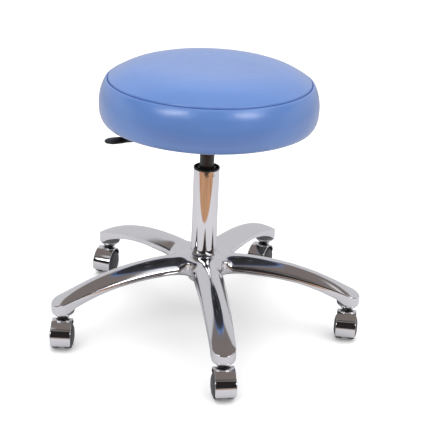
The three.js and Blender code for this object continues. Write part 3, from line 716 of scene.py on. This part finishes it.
def base_casting():
    at_tip = [spun(a * ARM_STEP - pi / 2) @ shifted(TIP_X, 0, 0) for a in range(ARMS)]
    radius = TIP_R - 0.3
    boss_top = edge_z(TIP_X + TIP_R) - 2
    boss = turned([(0, BOSS_Z, 0), (radius, BOSS_Z, BOSS_ROUND), (radius, boss_top, 0), (0, boss_top, 0)],
                  72, steps=8)
    stem_hole = cylinder(6.3, BOSS_Z - 5, BOSS_Z + 24, 32)
    socket = turned([(0, 88, 0), (29, 88, 2), (33, 134, 0), (0, 134, 0)], 72)
    bore = lathe([(0, 60), (24.3, 60), (24.3, COLUMN_FOOT), (25.2, 152), (25.2, 260), (0, 260)], 96)
    body = boolean(star(), [star(hollow=True)], "DIFFERENCE")
    ribs = [rib(a) for a in range(ARMS)]
    body = boolean(body, [*[moved(boss, m) for m in at_tip], *ribs, socket], "UNION")
    body = boolean(body, [bore, *[moved(stem_hole, m) for m in at_tip]], "DIFFERENCE")
    thing = add("star_base", body, ALUMINIUM, "base", ["base_casting"])
    # The dull grey faces are partly the casting's real inside finish and partly painted shade on the
    # downward lips and the bosses' hub-facing sides.
    thing.data.materials.append(AS_CAST_AND_SHADE.material)
    for face in thing.data.polygons:
        face.material_index = int(unpolished_or_shaded(face))


def unpolished_or_shaded(face):
    """Whether a face of the placed casting gets the dull as-cast grey: its insides, which are not polished,
    and also its downward lips and the bosses' sides towards the hub, where the grey is painted shade.
    """
    spot = face.center.to_2d() / MM - COLUMN
    turn = atan2(spot.y, spot.x) + pi / 2
    turn -= round(turn / ARM_STEP) * ARM_STEP
    along, across = spot.length * cos(turn), spot.length * sin(turn)
    z = face.center.z / MM
    # Downward faces along the arms are dull grey: inside the hollow this is the casting's real finish, on
    # the lips under the skirts it is painted shade.
    if along < TIP_X - TIP_R and face.normal.z < -0.3:
        return True
    if z < BOSS_Z + 0.7 * BOSS_ROUND:
        return False
    below = z < top_of_arm(along, across) - 2
    if along > TIP_X:
        return hypot(along - TIP_X, across) < TIP_R - WALL / 2 and below
    inside = abs(across) < float(half_width(along)) - WALL / 2 and spot.length > 40
    # Painted shade: the bosses' sides below the skirts, towards the hub, are dull grey.
    below_skirt_shade = z < float(skirt_z(along)) and along > SKIRT_X
    return (inside and below) or below_skirt_shade


def top_of_arm(along, across):
    return float(top_z(np.array([along]), np.array([across]))[0])


base_casting()


# ---------- column


def column():
    inner = COLUMN_R - 1.5
    shell = turned([
        (6.2, COLUMN_FOOT, 0.3), (24, COLUMN_FOOT, 1.2), (COLUMN_R, 152, 0), (COLUMN_R, COLUMN_TOP, 0.5),
        (inner, COLUMN_TOP, 0.3), (inner, 156, 0), (22.5, COLUMN_FOOT + 4, 0.5), (6.2, COLUMN_FOOT + 4, 0.3),
    ], 128, True)
    add("column_shell", shell, CHROME, "base", ["column_tube"])
    low, rim = COLUMN_TOP - 78, COLUMN_TOP + 3.4
    collar = turned([
        (14.5, low, 0.3), (inner - 0.3, low, 0.5), (inner - 0.3, COLUMN_TOP + 0.3, 0),
        (COLUMN_R + 0.2, COLUMN_TOP + 0.3, 0.2), (COLUMN_R + 0.2, rim, 0.9), (COLUMN_R - 2, rim, 0.7),
        (COLUMN_R - 2.6, COLUMN_TOP - 2.5, 0.4), (17.4, COLUMN_TOP - 2.5, 0.4), (17.1, rim - 0.8, 0.5),
        (14.9, rim - 0.8, 0.6), (14.5, COLUMN_TOP + 1, 0.2),
    ], 128, True)
    add("collar", collar, BLACK_PLASTIC, "base", ["guide_bush"])
    web = slab([(16.5, -0.7), (23.2, -0.7), (23.2, 0.7), (16.5, 0.7)], COLUMN_TOP - 3, COLUMN_TOP + 1.4, 0.3)
    add("collar_webs", around(web, 6, shifted(0, 0, 0), 0.2), BLACK_PLASTIC, "base")
    pit = turned([(0, -1.2, 0), (1.7, -1.2, 0), (1.7, 0.1, 0), (2.5, 0.1, 0), (2.5, 0.35, 0.3),
                  (1.9, 0.35, 0.3), (1.4, -0.6, 0.3), (0, -0.8, 0)], 24, steps=3)
    for number, turn in enumerate((5, 33), 1):
        facing = CAMERA_TURN - pi / 2 + radians(turn)
        place = at_column(facing) @ shifted(COLUMN_R - 0.2, 0, CRIMP_Z) @ LIE_ALONG_X
        add(f"crimp_{number}", pit.copy(), BLACK_STEEL, "base", (), place)


def gas_spring():
    low, high = foot("gas_cylinder"), top("gas_cylinder")
    cylinder_wall = turned([
        (12, low, 0), (CYLINDER_R, low, 1), (CYLINDER_R, 346, 0), (13.2, high, 1), (4.3, high, 0.3),
        (4.3, high - 8, 0), (11, high - 8, 0), (12, high - 12, 0),
    ], 96, True)
    add("spring_cylinder", cylinder_wall, BLACK_STEEL, "seat", ["gas_cylinder"])
    low, high = foot("piston_rod"), top("piston_rod")
    rod = turned([
        (0, low, 0), (4, low, 0.3), (4, low + 1, 0.2), (3, low + 1, 0), (3, low + 3, 0), (5, low + 3, 0.4),
        (5, high - 14, 0.3), (3, high - 14, 0), (3, high, 0.3), (0, high, 0),
    ], 48)
    add("spring_rod", rod, STEEL, "rod", ["piston_rod"])


column()
gas_spring()


# ---------- castors

HOOD_R, HOOD_IN, HOOD_HALF = 28.8, 26.4, 19
TAIL, NOSE = radians(-25.5), radians(158)
HOOD_SWELL = 3.6
SWELL_START, SWELL_FULL, SWELL_EDGE, SWELL_END = 35, 105, 120, 156  # degrees about the axle
NECK_R = 10.5


def smooth(share):
    share = min(max(share, 0), 1)
    return share * share * (3 - 2 * share)


def swell_at(angle):
    """How far the cover's outside stands above a true cylinder."""
    turn = degrees(angle)
    rise = smooth((turn - SWELL_START) / (SWELL_FULL - SWELL_START))
    drop = smooth((turn - SWELL_EDGE) / (SWELL_END - SWELL_EDGE))
    return HOOD_SWELL * rise * (1 - drop)


def inner_radius(angle):
    return HOOD_IN + 0.85 * swell_at(angle)


def hood_shell():
    """The chrome cover: a rounded strip swept about the axle, with its corners rounded in plan."""
    loops = []
    angles = np.concatenate([[0, 0.012, 0.03], np.linspace(0.07, 0.93, 56), [0.97, 0.988, 1]])
    for share in angles:
        angle = TAIL + (NOSE - TAIL) * share
        end = min(share, 1 - share) * (NOSE - TAIL) * HOOD_R
        corner = max(5 - end, 0)
        half = HOOD_HALF - (5 - sqrt(25 - corner**2))
        slim = 0.5 * (1 - min(end / 0.8, 1))
        inner, outer, side = inner_radius(angle) + slim, HOOD_R + swell_at(angle) - slim, half - slim
        corners = [(-side, inner, 0.6), (side, inner, 0.6), (side, outer, 0.8), (-side, outer, 0.8)]
        strip = rounded(corners, 4)
        loops.append([(r * cos(angle), y, r * sin(angle)) for y, r in strip])
    return moved(loft(loops), shifted(TRAIL, 0, WHEEL_R))


def hood_web():
    """The wall between the wheels, with the hub that carries the axle."""
    outline = []
    for t in np.linspace(0, 1, 40):
        angle = TAIL + 0.03 + (NOSE - TAIL - 0.06) * t
        reach = inner_radius(angle) + 0.4
        outline.append((reach * cos(angle), reach * sin(angle)))
    for t in np.linspace(1, 0, 12):
        angle = TAIL + (NOSE - TAIL) * t
        outline.append((6 * cos(angle), 6 * sin(angle)))
    hub = turned([(3.3, -5, 0.3), (8, -5, 0.6), (8, 5, 0.6), (3.3, 5, 0.3)], 40, True, 3)
    return moved(joined(slab(outline, -4.5, 4.5, 0.5), hub), shifted(TRAIL, 0, WHEEL_R) @ LIE_ACROSS)


def hood_neck():
    """The round neck on the stem, filleted into the curved cover."""
    def cover_z(x):
        radius = HOOD_R + swell_at(acos(max(min((x - TRAIL) / HOOD_R, 1), -1)))
        return WHEEL_R + sqrt(max(radius**2 - (x - TRAIL) ** 2, 1))

    rings = []
    for s in range(72):
        turn = 2 * pi * s / 72
        c, q = cos(turn), sin(turn)
        fillet = 0.25 + 3.2 * min(1, max(0, (c + 0.75) / 0.9))
        wall_z = cover_z(NECK_R * c)
        spread = NECK_R + fillet
        run = bezier((NECK_R, wall_z + fillet), (NECK_R, wall_z), (spread, cover_z(spread * c) - 0.05), 6)
        rim = rounded([(4.5, NECK_TOP, 0), (NECK_R, NECK_TOP, 1), (NECK_R, wall_z, 0)], 4, False)[:-1]
        rest = [(NECK_R - 1, cover_z((NECK_R - 1) * c) - 1.2), (4.5, cover_z(4.5 * c) - 1.6)]
        rings.append([(r * c, r * q, z) for r, z in [*rim, *map(tuple, run), *rest]])
    return loft(rings, round_trip=True, crease=50)


def wheel_meshes(side):
    """Tyre and domed disc of the wheel on one side of a castor, about the axle."""
    def turned_out(corners, segments, closed):
        return lathe([(r, -side * z) for r, z in rounded(corners, 5, closed)], segments, closed)

    tyre = turned_out([
        (3.4, 5.6, 0.2), (24, 5.6, 0.6), (WHEEL_R, 7.2, 1.5), (WHEEL_R, 16.6, 1.5), (24, 18.3, 0.8),
        (22.2, 18.3, 0.3), (22.0, 15.5, 0), (3.4, 15.5, 0),
    ], 80, True)
    disc = turned_out([
        (0, 15.8, 0), (21.6, 15.8, 0), (21.6, 18.6, 0.8), (17, 21.3, 9), (9, 22.7, 9), (0, 22.95, 0),
    ], 80, False)
    return tyre, disc


def in_the_cover(face):
    """Whether a face, still in the castor's frame, is on the cover's inner side or on the web in it."""
    x, z = face.center.x / MM - TRAIL, face.center.z / MM - WHEEL_R
    outer = HOOD_R + swell_at(atan2(z, x))
    return hypot(x, z) < outer - 1.2 and abs(face.center.y) / MM < HOOD_HALF - 0.8


def castors():
    hood = joined(hood_shell(), hood_web(), hood_neck())
    wheels = {"a": wheel_meshes(1), "b": wheel_meshes(-1)}
    boss = BOSS_Z
    stem = turned([
        (0, 46, 0), (4, 46, 0.5), (4, NECK_TOP + 0.4, 0), (8.2, NECK_TOP + 0.4, 0.5), (8.2, boss - 0.3, 0.5),
        (5.5, boss - 0.3, 0), (5.5, boss + 12, 0.3), (4.6, boss + 12, 0), (4.6, boss + 16.4, 0),
        (5.5, boss + 16.4, 0.3), (5.5, boss + 22, 1), (0, boss + 22, 0),
    ], 40, steps=3)
    seal = turned([(8.5, NECK_TOP + 0.3, 0.2), (14.5, NECK_TOP + 0.3, 0.6), (14.5, boss - 0.4, 0.6),
                   (8.5, boss - 0.4, 0.2)], 48, True, 3)
    for k in range(1, ARMS + 1):
        body = f"castor_{k}"
        cover = hood.copy()
        inside = [in_the_cover(face) for face in cover.polygons]
        thing = add(f"{body}_cover", cover, CHROME, body, [f"{body}_hood"], at_castor(k))
        thing.data.materials.append(BLACK_PLASTIC.material)
        thing.data.polygons.foreach_set("material_index", [int(dark) for dark in inside])
        add(f"{body}_spindle", stem.copy(), STEEL, "base", [f"{body}_stem"], at_castor(k))
        add(f"{body}_seal", seal.copy(), BLACK_PLASTIC, body, (), at_castor(k))
        for letter, wheel_body in (("a", f"{body}_left"), ("b", f"{body}_right")):
            tyre, disc = wheels[letter]
            node = f"{body}_wheel_{letter}"
            add(f"{body}_tyre_{letter}", tyre.copy(), TREAD, wheel_body, [node], at_axle(k))
            add(f"{body}_disc_{letter}", disc.copy(), DISC, wheel_body, [node], at_axle(k))


castors()


# ---------- seat mechanism

PLATE_LOW, PLATE_HIGH = foot("seat_plate"), top("seat_plate")


def mechanism():
    corner, half = 14, 75
    square = [(half, half, corner), (-half, half, corner), (-half, -half, corner), (half, -half, corner)]
    plate = slab(rounded(square, 6), PLATE_LOW, PLATE_HIGH, 0.6)
    hole = cylinder(3.4, PLATE_LOW - 5, PLATE_HIGH + 5)
    holes = [moved(hole, shifted(sx, sy, 0)) for sx in (-60, 60) for sy in (-60, 60)]
    place = at_column(LEVER_TURN)
    add("mounting_plate", boolean(plate, holes, "DIFFERENCE"), BLACK_STEEL, "seat", ["seat_plate"], place)

    low, high = foot("seat_socket"), PLATE_LOW - 0.3
    wall = turned([
        (14.2, low, 0.3), (19.5, low, 0.8), (21, high - 7, 4), (27, high, 0.5), (13.6, high, 0.3),
    ], 80, True, 5)
    slot_cut = slab([(5, -5.4), (30, -5.4), (30, 5.4), (5, 5.4)], top("gas_cylinder") + 0.6, high + 5, 0.3)
    wall = boolean(wall, [slot_cut], "DIFFERENCE")
    pin_x = (LEVER_PIN.to_2d() - COLUMN).length
    outline = rounded([(21, high, 0), (21, LEVER_PIN.z - 8, 0), (pin_x + 9, LEVER_PIN.z - 8, 6),
                       (pin_x + 9, high, 0)], 6)
    ear = slab(outline[::-1], -1.5, 1.5, 0.4)
    ears = [moved(ear, shifted(0, side * 7.5, 0) @ LIE_ACROSS) for side in (-1, 1)]
    add("tapered_socket", joined(wall, *ears), BLACK_STEEL, "seat", ["seat_socket"], place)

    head = PLATE_LOW - 0.3
    hexagon = [(5.8 * cos(a * pi / 3), 5.8 * sin(a * pi / 3)) for a in range(6)]
    washer = turned([(0, head - 1.4, 0), (8, head - 1.4, 0.4), (8, head, 0.2), (0, head, 0)], 36, steps=3)
    shank = cylinder(3, head - 1, top("seat_bolt_1"))
    bolt = joined(slab(hexagon, head - 4, head - 1.2, 0.5), washer, shank)
    for i in range(1, 5):
        spot = centre(f"seat_bolt_{i}")
        add(f"bolt_{i}", bolt.copy(), STEEL, "seat", [f"seat_bolt_{i}"], shifted(spot.x, spot.y, 0))


mechanism()


# ---------- lever

LEVER_DROOP = radians(0.6)


def lever():
    place = shifted(*LEVER_PIN) @ spun(LEVER_TURN) @ Matrix.Rotation(LEVER_DROOP, 4, "Y")
    bar = moved(turned([(0, -39, 0), (4, -39, 0.8), (4, 140, 0.5), (0, 140, 0)], 32), LIE_ALONG_X)
    bar = boolean(bar, [moved(cylinder(2.3, -6, 6, 20), LIE_ACROSS)], "DIFFERENCE")
    add("lever_bar", bar, BLACK_STEEL, "lever", ["lever_rod"], place)
    outline = rounded([
        (104, -6.6, 2), (122, -7.2, 12), (136, -14, 14), (158, -14.4, 8), (168, -5, 7),
        (168, 5, 7), (158, 14.4, 8), (136, 14, 14), (122, 7.2, 12), (104, 6.6, 2),
    ], 6)
    blade = slab(outline, -2.5, 2.5, 1.9)
    collar = turned([(4.3, 103, 0.3), (6.2, 103, 0.8), (6.6, 112, 3), (5.4, 143, 2), (4.3, 143, 0.3)],
                    40, True)
    handle = joined(blade, moved(collar, LIE_ALONG_X))
    add("lever_handle", handle, BLACK_PLASTIC, "lever", ["lever_paddle"], place)


lever()


# ---------- seat

SEAM_R = 190.6
DOME_RISE = top("cover_top") - SEAM_Z
DOME_POWER = 5
HEM_R = 172
SIDE_DEPTHS = [(SEAM_R, 0), (194.6, 4.5), (200.6, 18), (204.4, 35), (205, 49), (204.2, 62), (201.6, 73.5),
               (196.6, 80.8), (188, 83), (HEM_R, 83)]
COVER = 1.6


def lengths(points):
    """The distance along a line of points, at each of them."""
    return np.concatenate([[0], np.cumsum(np.linalg.norm(np.diff(points, axis=0), axis=1))])


def resampled(points, wanted):
    """The points at the wanted distances along a line of points."""
    return np.column_stack([np.interp(wanted, lengths(points), points[:, k]) for k in (0, 1)])


def spline(points, count):
    """Catmull-Rom curve through the points, evenly spaced along its length."""
    p = np.array(points, float)
    p = np.vstack([2 * p[0] - p[1], p, 2 * p[-1] - p[-2]])
    fine = []
    for i in range(1, len(p) - 2):
        t = np.linspace(0, 1, 24, endpoint=False)[:, None]
        a, b, c, d = p[i - 1], p[i], p[i + 1], p[i + 2]
        fine.append(0.5 * (2 * b + (c - a) * t + (2 * a - 5 * b + 4 * c - d) * t**2
                           + (3 * b - a - 3 * c + d) * t**3))
    fine = np.vstack([*fine, p[-2:-1]])
    return resampled(fine, np.linspace(0, lengths(fine)[-1], count))


def top_outline(count):
    r = np.linspace(0, SEAM_R, 400)
    dome = np.column_stack([r, SEAM_Z + DOME_RISE * (1 - (r / SEAM_R) ** DOME_POWER)])
    return resampled(dome, np.linspace(0, lengths(dome)[-1], count))


def side_outline(count):
    return spline([(r, SEAM_Z - depth) for r, depth in SIDE_DEPTHS], count)


SIM_TOP, SIM_SIDE, SIM_TURN = 34, 24, 144
SIM_CAP = 1.3  # how far the fabric may move from its cut shape
SIM_FRAMES = 20
SMOOTHEST = 7  # waves round the seat above which the padding irons the cover out


def relaxed_cover():
    """How far the cover moves, as (radial, vertical) by ring and angle, when it settles over its padding
    between the held seam and hem."""
    outline = np.vstack([top_outline(SIM_TOP), side_outline(SIM_SIDE)[1:]])
    rings = len(outline)
    turn = 2 * np.pi * np.arange(SIM_TURN) / SIM_TURN
    points = [(0.0, 0.0, outline[0, 1])]
    for r, z in outline[1:]:
        points += [(r * cos(a), r * sin(a), z) for a in turn]
    faces = [(0, 1 + s, 1 + (s + 1) % SIM_TURN) for s in range(SIM_TURN)]
    for i in range(rings - 2):
        a, b = 1 + i * SIM_TURN, 1 + (i + 1) * SIM_TURN
        for s in range(SIM_TURN):
            n = (s + 1) % SIM_TURN
            faces.append((a + s, b + s, b + n, a + n))
    mesh = mesh_of(points, faces)
    cloth = new_object("cover_cloth", mesh)
    held = cloth.vertex_groups.new(name="held")
    seam_ring = SIM_TOP - 1
    for ring in [seam_ring, rings - 3, rings - 2, rings - 1]:
        first = 1 + (ring - 1) * SIM_TURN
        held.add(list(range(first, first + SIM_TURN)), 1.0, "REPLACE")
    settings = cloth.modifiers.new("cloth", "CLOTH").settings
    settings.vertex_group_mass = "held"
    settings.use_pressure = True
    settings.uniform_pressure_force = 4
    settings.effector_weights.gravity = 0
    settings.quality = 5
    settings.mass = 0.6
    settings.tension_stiffness = 25
    settings.compression_stiffness = 18
    settings.shrink_min = -0.012
    for number in range(1, SIM_FRAMES + 1):
        scene.frame_set(number)
    graph = bpy.context.evaluated_depsgraph_get()
    final = cloth.evaluated_get(graph).data
    co = np.empty(len(points) * 3)
    final.vertices.foreach_get("co", co)
    co = co.reshape(-1, 3) / MM
    scene.frame_set(1)
    bpy.data.objects.remove(cloth)
    radial = np.zeros((rings, SIM_TURN))
    vertical = np.zeros((rings, SIM_TURN))
    vertical[0] = co[0, 2] - outline[0, 1]
    circles = co[1:].reshape(rings - 1, SIM_TURN, 3)
    radial[1:] = circles[..., 0] * np.cos(turn) + circles[..., 1] * np.sin(turn) - outline[1:, :1]
    vertical[1:] = circles[..., 2] - outline[1:, 1:]
    radial, vertical = ironed(radial), ironed(vertical)
    size = np.maximum(np.hypot(radial, vertical), 1e-9)
    limit = SIM_CAP * np.tanh(size / SIM_CAP) / size
    return radial * limit, vertical * limit


def ironed(field):
    """A field without its short waves."""
    waves = np.fft.rfft(field, axis=1)
    waves *= np.exp(-((np.arange(waves.shape[1]) / SMOOTHEST) ** 2))
    field = np.fft.irfft(waves, field.shape[1], axis=1)
    for _ in range(3):
        field[1:-1] = (field[:-2] + 2 * field[1:-1] + field[2:]) / 4
    return field


def relief_field():
    return relaxed_cover()


def sample(field, ring, turn):
    """Smooth reading of a field by ring position and angle."""
    rings, sectors = field.shape
    i = np.clip(ring, 0, rings - 1.001)
    i0 = np.floor(i).astype(int)
    fi = (i - i0)[..., None]
    s = (turn / (2 * np.pi) * sectors)[None, :]
    s0 = np.floor(s).astype(int)
    fs = s - s0
    fs = fs * fs * (3 - 2 * fs)
    a, b = s0 % sectors, (s0 + 1) % sectors
    i0 = i0[:, None]
    lower = field[i0, a] * (1 - fs) + field[i0, b] * fs
    upper = field[i0 + 1, a] * (1 - fs) + field[i0 + 1, b] * fs
    return lower * (1 - fi) + upper * fi


FIELD = relief_field()
TURNS = 720
STITCHES = 300


def puckers(turn, distance, reach, depth):
    """Small gathers that die away from the seam: depth in mm against angle and distance."""
    wave = np.sin(STITCHES * turn)[None, :]
    uneven = np.array([noise.noise(Vector((cos(a) * 6, sin(a) * 6, 3.1))) for a in turn])
    slow = np.array([noise.noise(Vector((cos(a) * 22, sin(a) * 22, 7.7))) for a in turn])
    fade = np.exp(-distance / reach)[:, None]
    broad = np.exp(-distance / (4 * reach))[:, None]
    return depth * (wave * (0.75 + 0.5 * uneven)[None, :] * fade + 0.9 * slow[None, :] * broad)


def panel(outline, first_ring, seam_at_start):
    """A closed sheet of vinyl from its outer outline, rolled in at the seam."""
    turn = 2 * np.pi * np.arange(TURNS) / TURNS
    along = np.gradient(outline, axis=0)
    along /= np.linalg.norm(along, axis=1)[:, None]
    normal = np.column_stack([-along[:, 1], along[:, 0]])
    steps = lengths(outline)
    distance = steps if seam_at_start else steps[-1] - steps
    roll = 2.2 * np.exp(-((distance / 1.7) ** 2))  # the edge dips into the seam
    sim_rings = SIM_SIDE if seam_at_start else SIM_TOP
    ring = first_ring + steps / steps[-1] * (sim_rings - 1)
    radial, vertical = (sample(part, ring, turn) for part in FIELD)
    gather = puckers(turn, distance, 3.5, 0.22 if seam_at_start else 0.12)
    outer_r = outline[:, :1] + radial + normal[:, :1] * (gather - roll[:, None])
    outer_z = outline[:, 1:] + vertical + normal[:, 1:] * (gather - roll[:, None])
    inner_r = np.maximum(outer_r - normal[:, :1] * COVER, 0)
    inner_z = outer_z - normal[:, 1:] * COVER
    points, rings = [], []
    for r, z in zip(np.vstack([outer_r, inner_r[::-1]]), np.vstack([outer_z, inner_z[::-1]])):
        if not seam_at_start and r.max() < 1e-3 + COVER * 0.02:
            rings.append([len(points)])
            points.append((0, 0, float(z.mean())))
            continue
        rings.append(list(range(len(points), len(points) + TURNS)))
        points.extend(zip(r * np.cos(turn), r * np.sin(turn), z))
    return tidy(mesh_of(points, bands(rings, seam_at_start)), 60)


def denser_near_seam(outline, seam_at_start):
    """Resamples an outline so that its last few millimetres by the seam have close rings."""
    total = lengths(outline)[-1]
    near = np.array([0, 0.35, 0.8, 1.3, 1.9, 2.6, 3.5, 4.7, 6.2, 8.2, 11])
    far = np.linspace(15, total, max(int((total - 15) / 5), 4))
    wanted = np.concatenate([near, far])
    if not seam_at_start:
        wanted = total - wanted[::-1]
    return resampled(outline, wanted)


def seat_cover():
    upper = denser_near_seam(top_outline(400), False)
    lower = denser_near_seam(side_outline(400), True)
    add("seat_top_panel", panel(upper, 0, False), BLUE, "seat", ["cover_top"])
    add("seat_side_panel", panel(lower, SIM_TOP - 1, True), BLUE, "seat", ["cover_band"])


def stitches():
    """Short thread bars across the seam, one to each gather, and a cord in it."""
    bar = turned([(0, -1.7, 0), (0.5, -1.7, 0.4), (0.5, 1.7, 0.4), (0, 1.7, 0)], 8, steps=3)
    lean = shifted(SEAM_R + 0.75, 0, SEAM_Z - 1.5) @ Matrix.Rotation(radians(-38), 4, "Y")
    in_a_dip = 1.5 * pi / STITCHES
    add("seam_stitches", around(bar, STITCHES, lean, in_a_dip), THREAD, "seat")
    inner, outer, low, high = SEAM_R - 1.7, SEAM_R + 0.2, SEAM_Z - 1.9, SEAM_Z - 0.1
    cord = turned([(inner, low, 0.6), (outer, low, 0.9), (outer, high, 0.9), (inner, high, 0.6)], 240, True)
    add("seam_cord", cord, THREAD, "seat")


def padding():
    low = top("seat_board") + 0.4
    side = side_outline(40)
    side = [(r - COVER - 1.6, z) for r, z in side if z > low + 2]
    dome = [(r * 0.985, z - COVER - 1.8) for r, z in top_outline(24)[:-1]]
    profile = [(0, low), (side[-1][0] - 3, low), *side[:0:-1], *dome[::-1]]
    add("foam_pad", lathe(profile, 96), FOAM, "seat", ["seat_foam"])


STAPLES = 44


def underside():
    low, high = foot("underside_cover"), top("underside_cover")
    disc = turned([(0, low + 0.6, 0), (176, low + 0.3, 0), (183, low + 0.5, 0.6), (183, high, 0.3),
                   (0, high, 0)], 144)
    hole = cylinder(3.6, low - 5, high + 5, 20)
    spots = [centre(f"seat_bolt_{i}").to_2d() - COLUMN for i in range(1, 5)]
    cloth = boolean(disc, [moved(hole, shifted(*spot, 0)) for spot in spots], "DIFFERENCE")
    add("underside_cloth", cloth, FELT, "seat", ["underside_cover"])
    bar = turned([(0, -5, 0), (0.45, -5, 0.4), (0.45, 5, 0.4), (0, 5, 0)], 8, steps=2)
    lie = shifted(177.5, 0, low + 0.1) @ LIE_ACROSS
    add("staples", around(bar, STAPLES, lie), STEEL, "seat")


seat_cover()
stitches()
padding()
underside()


# ---------- materials on the frame's own nodes

CARRIED = {"seat_board": PLY, "rod_seal": RUBBER, "rubber_buffer": RUBBER}
for name, node in frame["nodes"].items():
    if node.hide_render:
        continue
    node.data.materials.clear()
    node.data.materials.append(CARRIED.get(name, STEEL).material)


# ---------- stage

CAMERA_RISE = radians(22.38)
CAMERA_ROLL = radians(2.51)
CAMERA_FAR = 2150
CAMERA_AIM = (19.8, 0, 221.94)
LENS = 92.4


def camera():
    data = bpy.data.cameras.new("camera")
    data.sensor_width = 36
    data.lens = LENS
    turn = Matrix.Rotation(pi / 2 - CAMERA_RISE, 4, "X") @ spun(CAMERA_ROLL)
    place = at_column(CAMERA_TURN) @ shifted(*CAMERA_AIM) @ turn @ shifted(0, 0, CAMERA_FAR)
    place.translation *= MM
    thing = new_object("camera", data)
    thing.matrix_world = place
    scene.camera = thing


# What mirror surfaces see, as (arc from, to, side from, to, softness, colour), in degrees. Arc is the angle
# over the stool, from the horizon on the camera's side (0) through straight up (90). Side is to the right.
ROOM = [
    (2, 118, -75, 75, 4, (0.022, 0.018, 0.018)),
    (55, 118, -62, 60, 4, (0.2, 0.17, 0.16)),
    (48, 51, -50, 50, 1.5, (0.3, 0.28, 0.28)),
    (31, 42, -46, -21, 2, (7, 7, 7.2)),
    (31, 42, 26, 50, 2, (7, 7, 7.2)),
    (42, 92, 26, 50, 3, (0.95, 0.95, 0.98)),
    (56, 66, -34, -14, 4, (0.6, 0.6, 0.62)),
]
WALLS = (0.62, 0.615, 0.64)


def band(nodes, angle, low, high, soft):
    """1 between two angles in degrees, 0 outside them, with soft ends."""
    half, middle, soft = radians(high - low) / 2, radians(high + low) / 2, radians(soft)
    off_middle = nodes.maths("ABSOLUTE", nodes.maths("SUBTRACT", angle, middle))
    return nodes.spread(off_middle, half - soft, half + soft, 1, 0, smooth=True)


def world():
    """Even white light. Mirror surfaces see a studio instead: pale walls, a dark room with two lamps."""
    made = bpy.data.worlds.new("studio")
    scene.world = made
    made.use_nodes = True
    nodes = Nodes(made.node_tree)
    maths = nodes.maths
    split = nodes.node("ShaderNodeSeparateXYZ")
    nodes.link(nodes.node("ShaderNodeTexCoord").outputs["Generated"], split.inputs[0])
    x, y, z = split.outputs
    c, s = cos(CAMERA_TURN), sin(CAMERA_TURN)
    right = maths("ADD", maths("MULTIPLY", x, c), maths("MULTIPLY", y, s))
    back = maths("SUBTRACT", maths("MULTIPLY", x, s), maths("MULTIPLY", y, c))
    arc = maths("ARCTAN2", z, back)
    side = maths("ARCSINE", right)
    color = WALLS
    for low, high, left, far, soft, tint in ROOM:
        mask = maths("MULTIPLY", band(nodes, arc, low, high, soft), band(nodes, side, left, far, soft))
        color = nodes.mixed(mask, color, tint)
    mirrored = nodes.node("ShaderNodeLightPath").outputs["Is Glossy Ray"]
    nodes.feed(nodes.tree.nodes["Background"].inputs["Color"], nodes.mixed(mirrored, (1, 1, 1), color))


FLOOR_SEEN, FLOOR_BOUNCE, FLOOR_GLOW = (0.92, 0.92, 0.925), (0.66, 0.66, 0.67), 0.1
PAPER, PAPER_END = (0.48, 0.47, 0.49), (-0.58, -0.55)  # where it ends is in metres, towards the camera
GLOOM, GLOOM_START = (0.035, 0.028, 0.025), (-1.4, -1.3)
FLOOR_HALF = 9000


def floor():
    """A pale floor. In mirrors it is paper that ends in front of the stool, then wood, then gloom."""
    look = Look("floor", FLOOR_SEEN, 0.9, 0.0, Specular_IOR_Level=0.0)
    look.set("Emission Color", (1, 1, 1, 1))
    turn = look.node("ShaderNodeVectorRotate", rotation_type="Z_AXIS")
    turn.inputs["Angle"].default_value = -CAMERA_TURN
    look.link(look.place, turn.inputs["Vector"])
    split = look.node("ShaderNodeSeparateXYZ")
    look.link(turn.outputs["Vector"], split.inputs[0])
    away = split.outputs["Y"]
    grain = look.ramp(look.noise(6, 3, (1, 0.2, 1)), (0.3, (0.27, 0.14, 0.075)), (0.7, (0.43, 0.25, 0.15)))
    wood = look.mixed(look.spread(away, *GLOOM_START, smooth=True), GLOOM, grain)
    mirrored = look.mixed(look.spread(away, *PAPER_END, smooth=True), wood, PAPER)
    path = look.node("ShaderNodeLightPath")
    by_camera = path.outputs["Is Camera Ray"]
    look.link(look.spread(by_camera, end=FLOOR_GLOW), look.bsdf.inputs["Emission Strength"])
    plain = look.mixed(by_camera, FLOOR_BOUNCE, FLOOR_SEEN)
    look.link(look.mixed(path.outputs["Is Glossy Ray"], plain, mirrored), look.bsdf.inputs["Base Color"])
    corners = [(x * FLOOR_HALF, y * FLOOR_HALF, -0.2) for x, y in ((-1, -1), (1, -1), (1, 1), (-1, 1))]
    mesh = mesh_of(corners, [(0, 1, 2, 3)])
    mesh.materials.append(look.material)
    new_object("floor", mesh)


LAMPS_AIM = Vector((0, 0, 0.25))


def lamp(name, spot, size, power):
    data = bpy.data.lights.new(name, "AREA")
    data.size = size
    data.energy = power
    thing = new_object(name, data)
    thing.location = spot
    thing.rotation_euler = (LAMPS_AIM - Vector(spot)).to_track_quat("-Z", "Y").to_euler()
    thing.visible_glossy = False


camera()
world()
floor()
lamp("key", (-1.1, -1.3, 2.0), 1.6, 14)
lamp("fill", (1.3, -1.0, 1.8), 1.6, 9)
lamp("overhead", (0, 0.3, 2.4), 2.0, 27)
scene.view_settings.view_transform = "Standard"
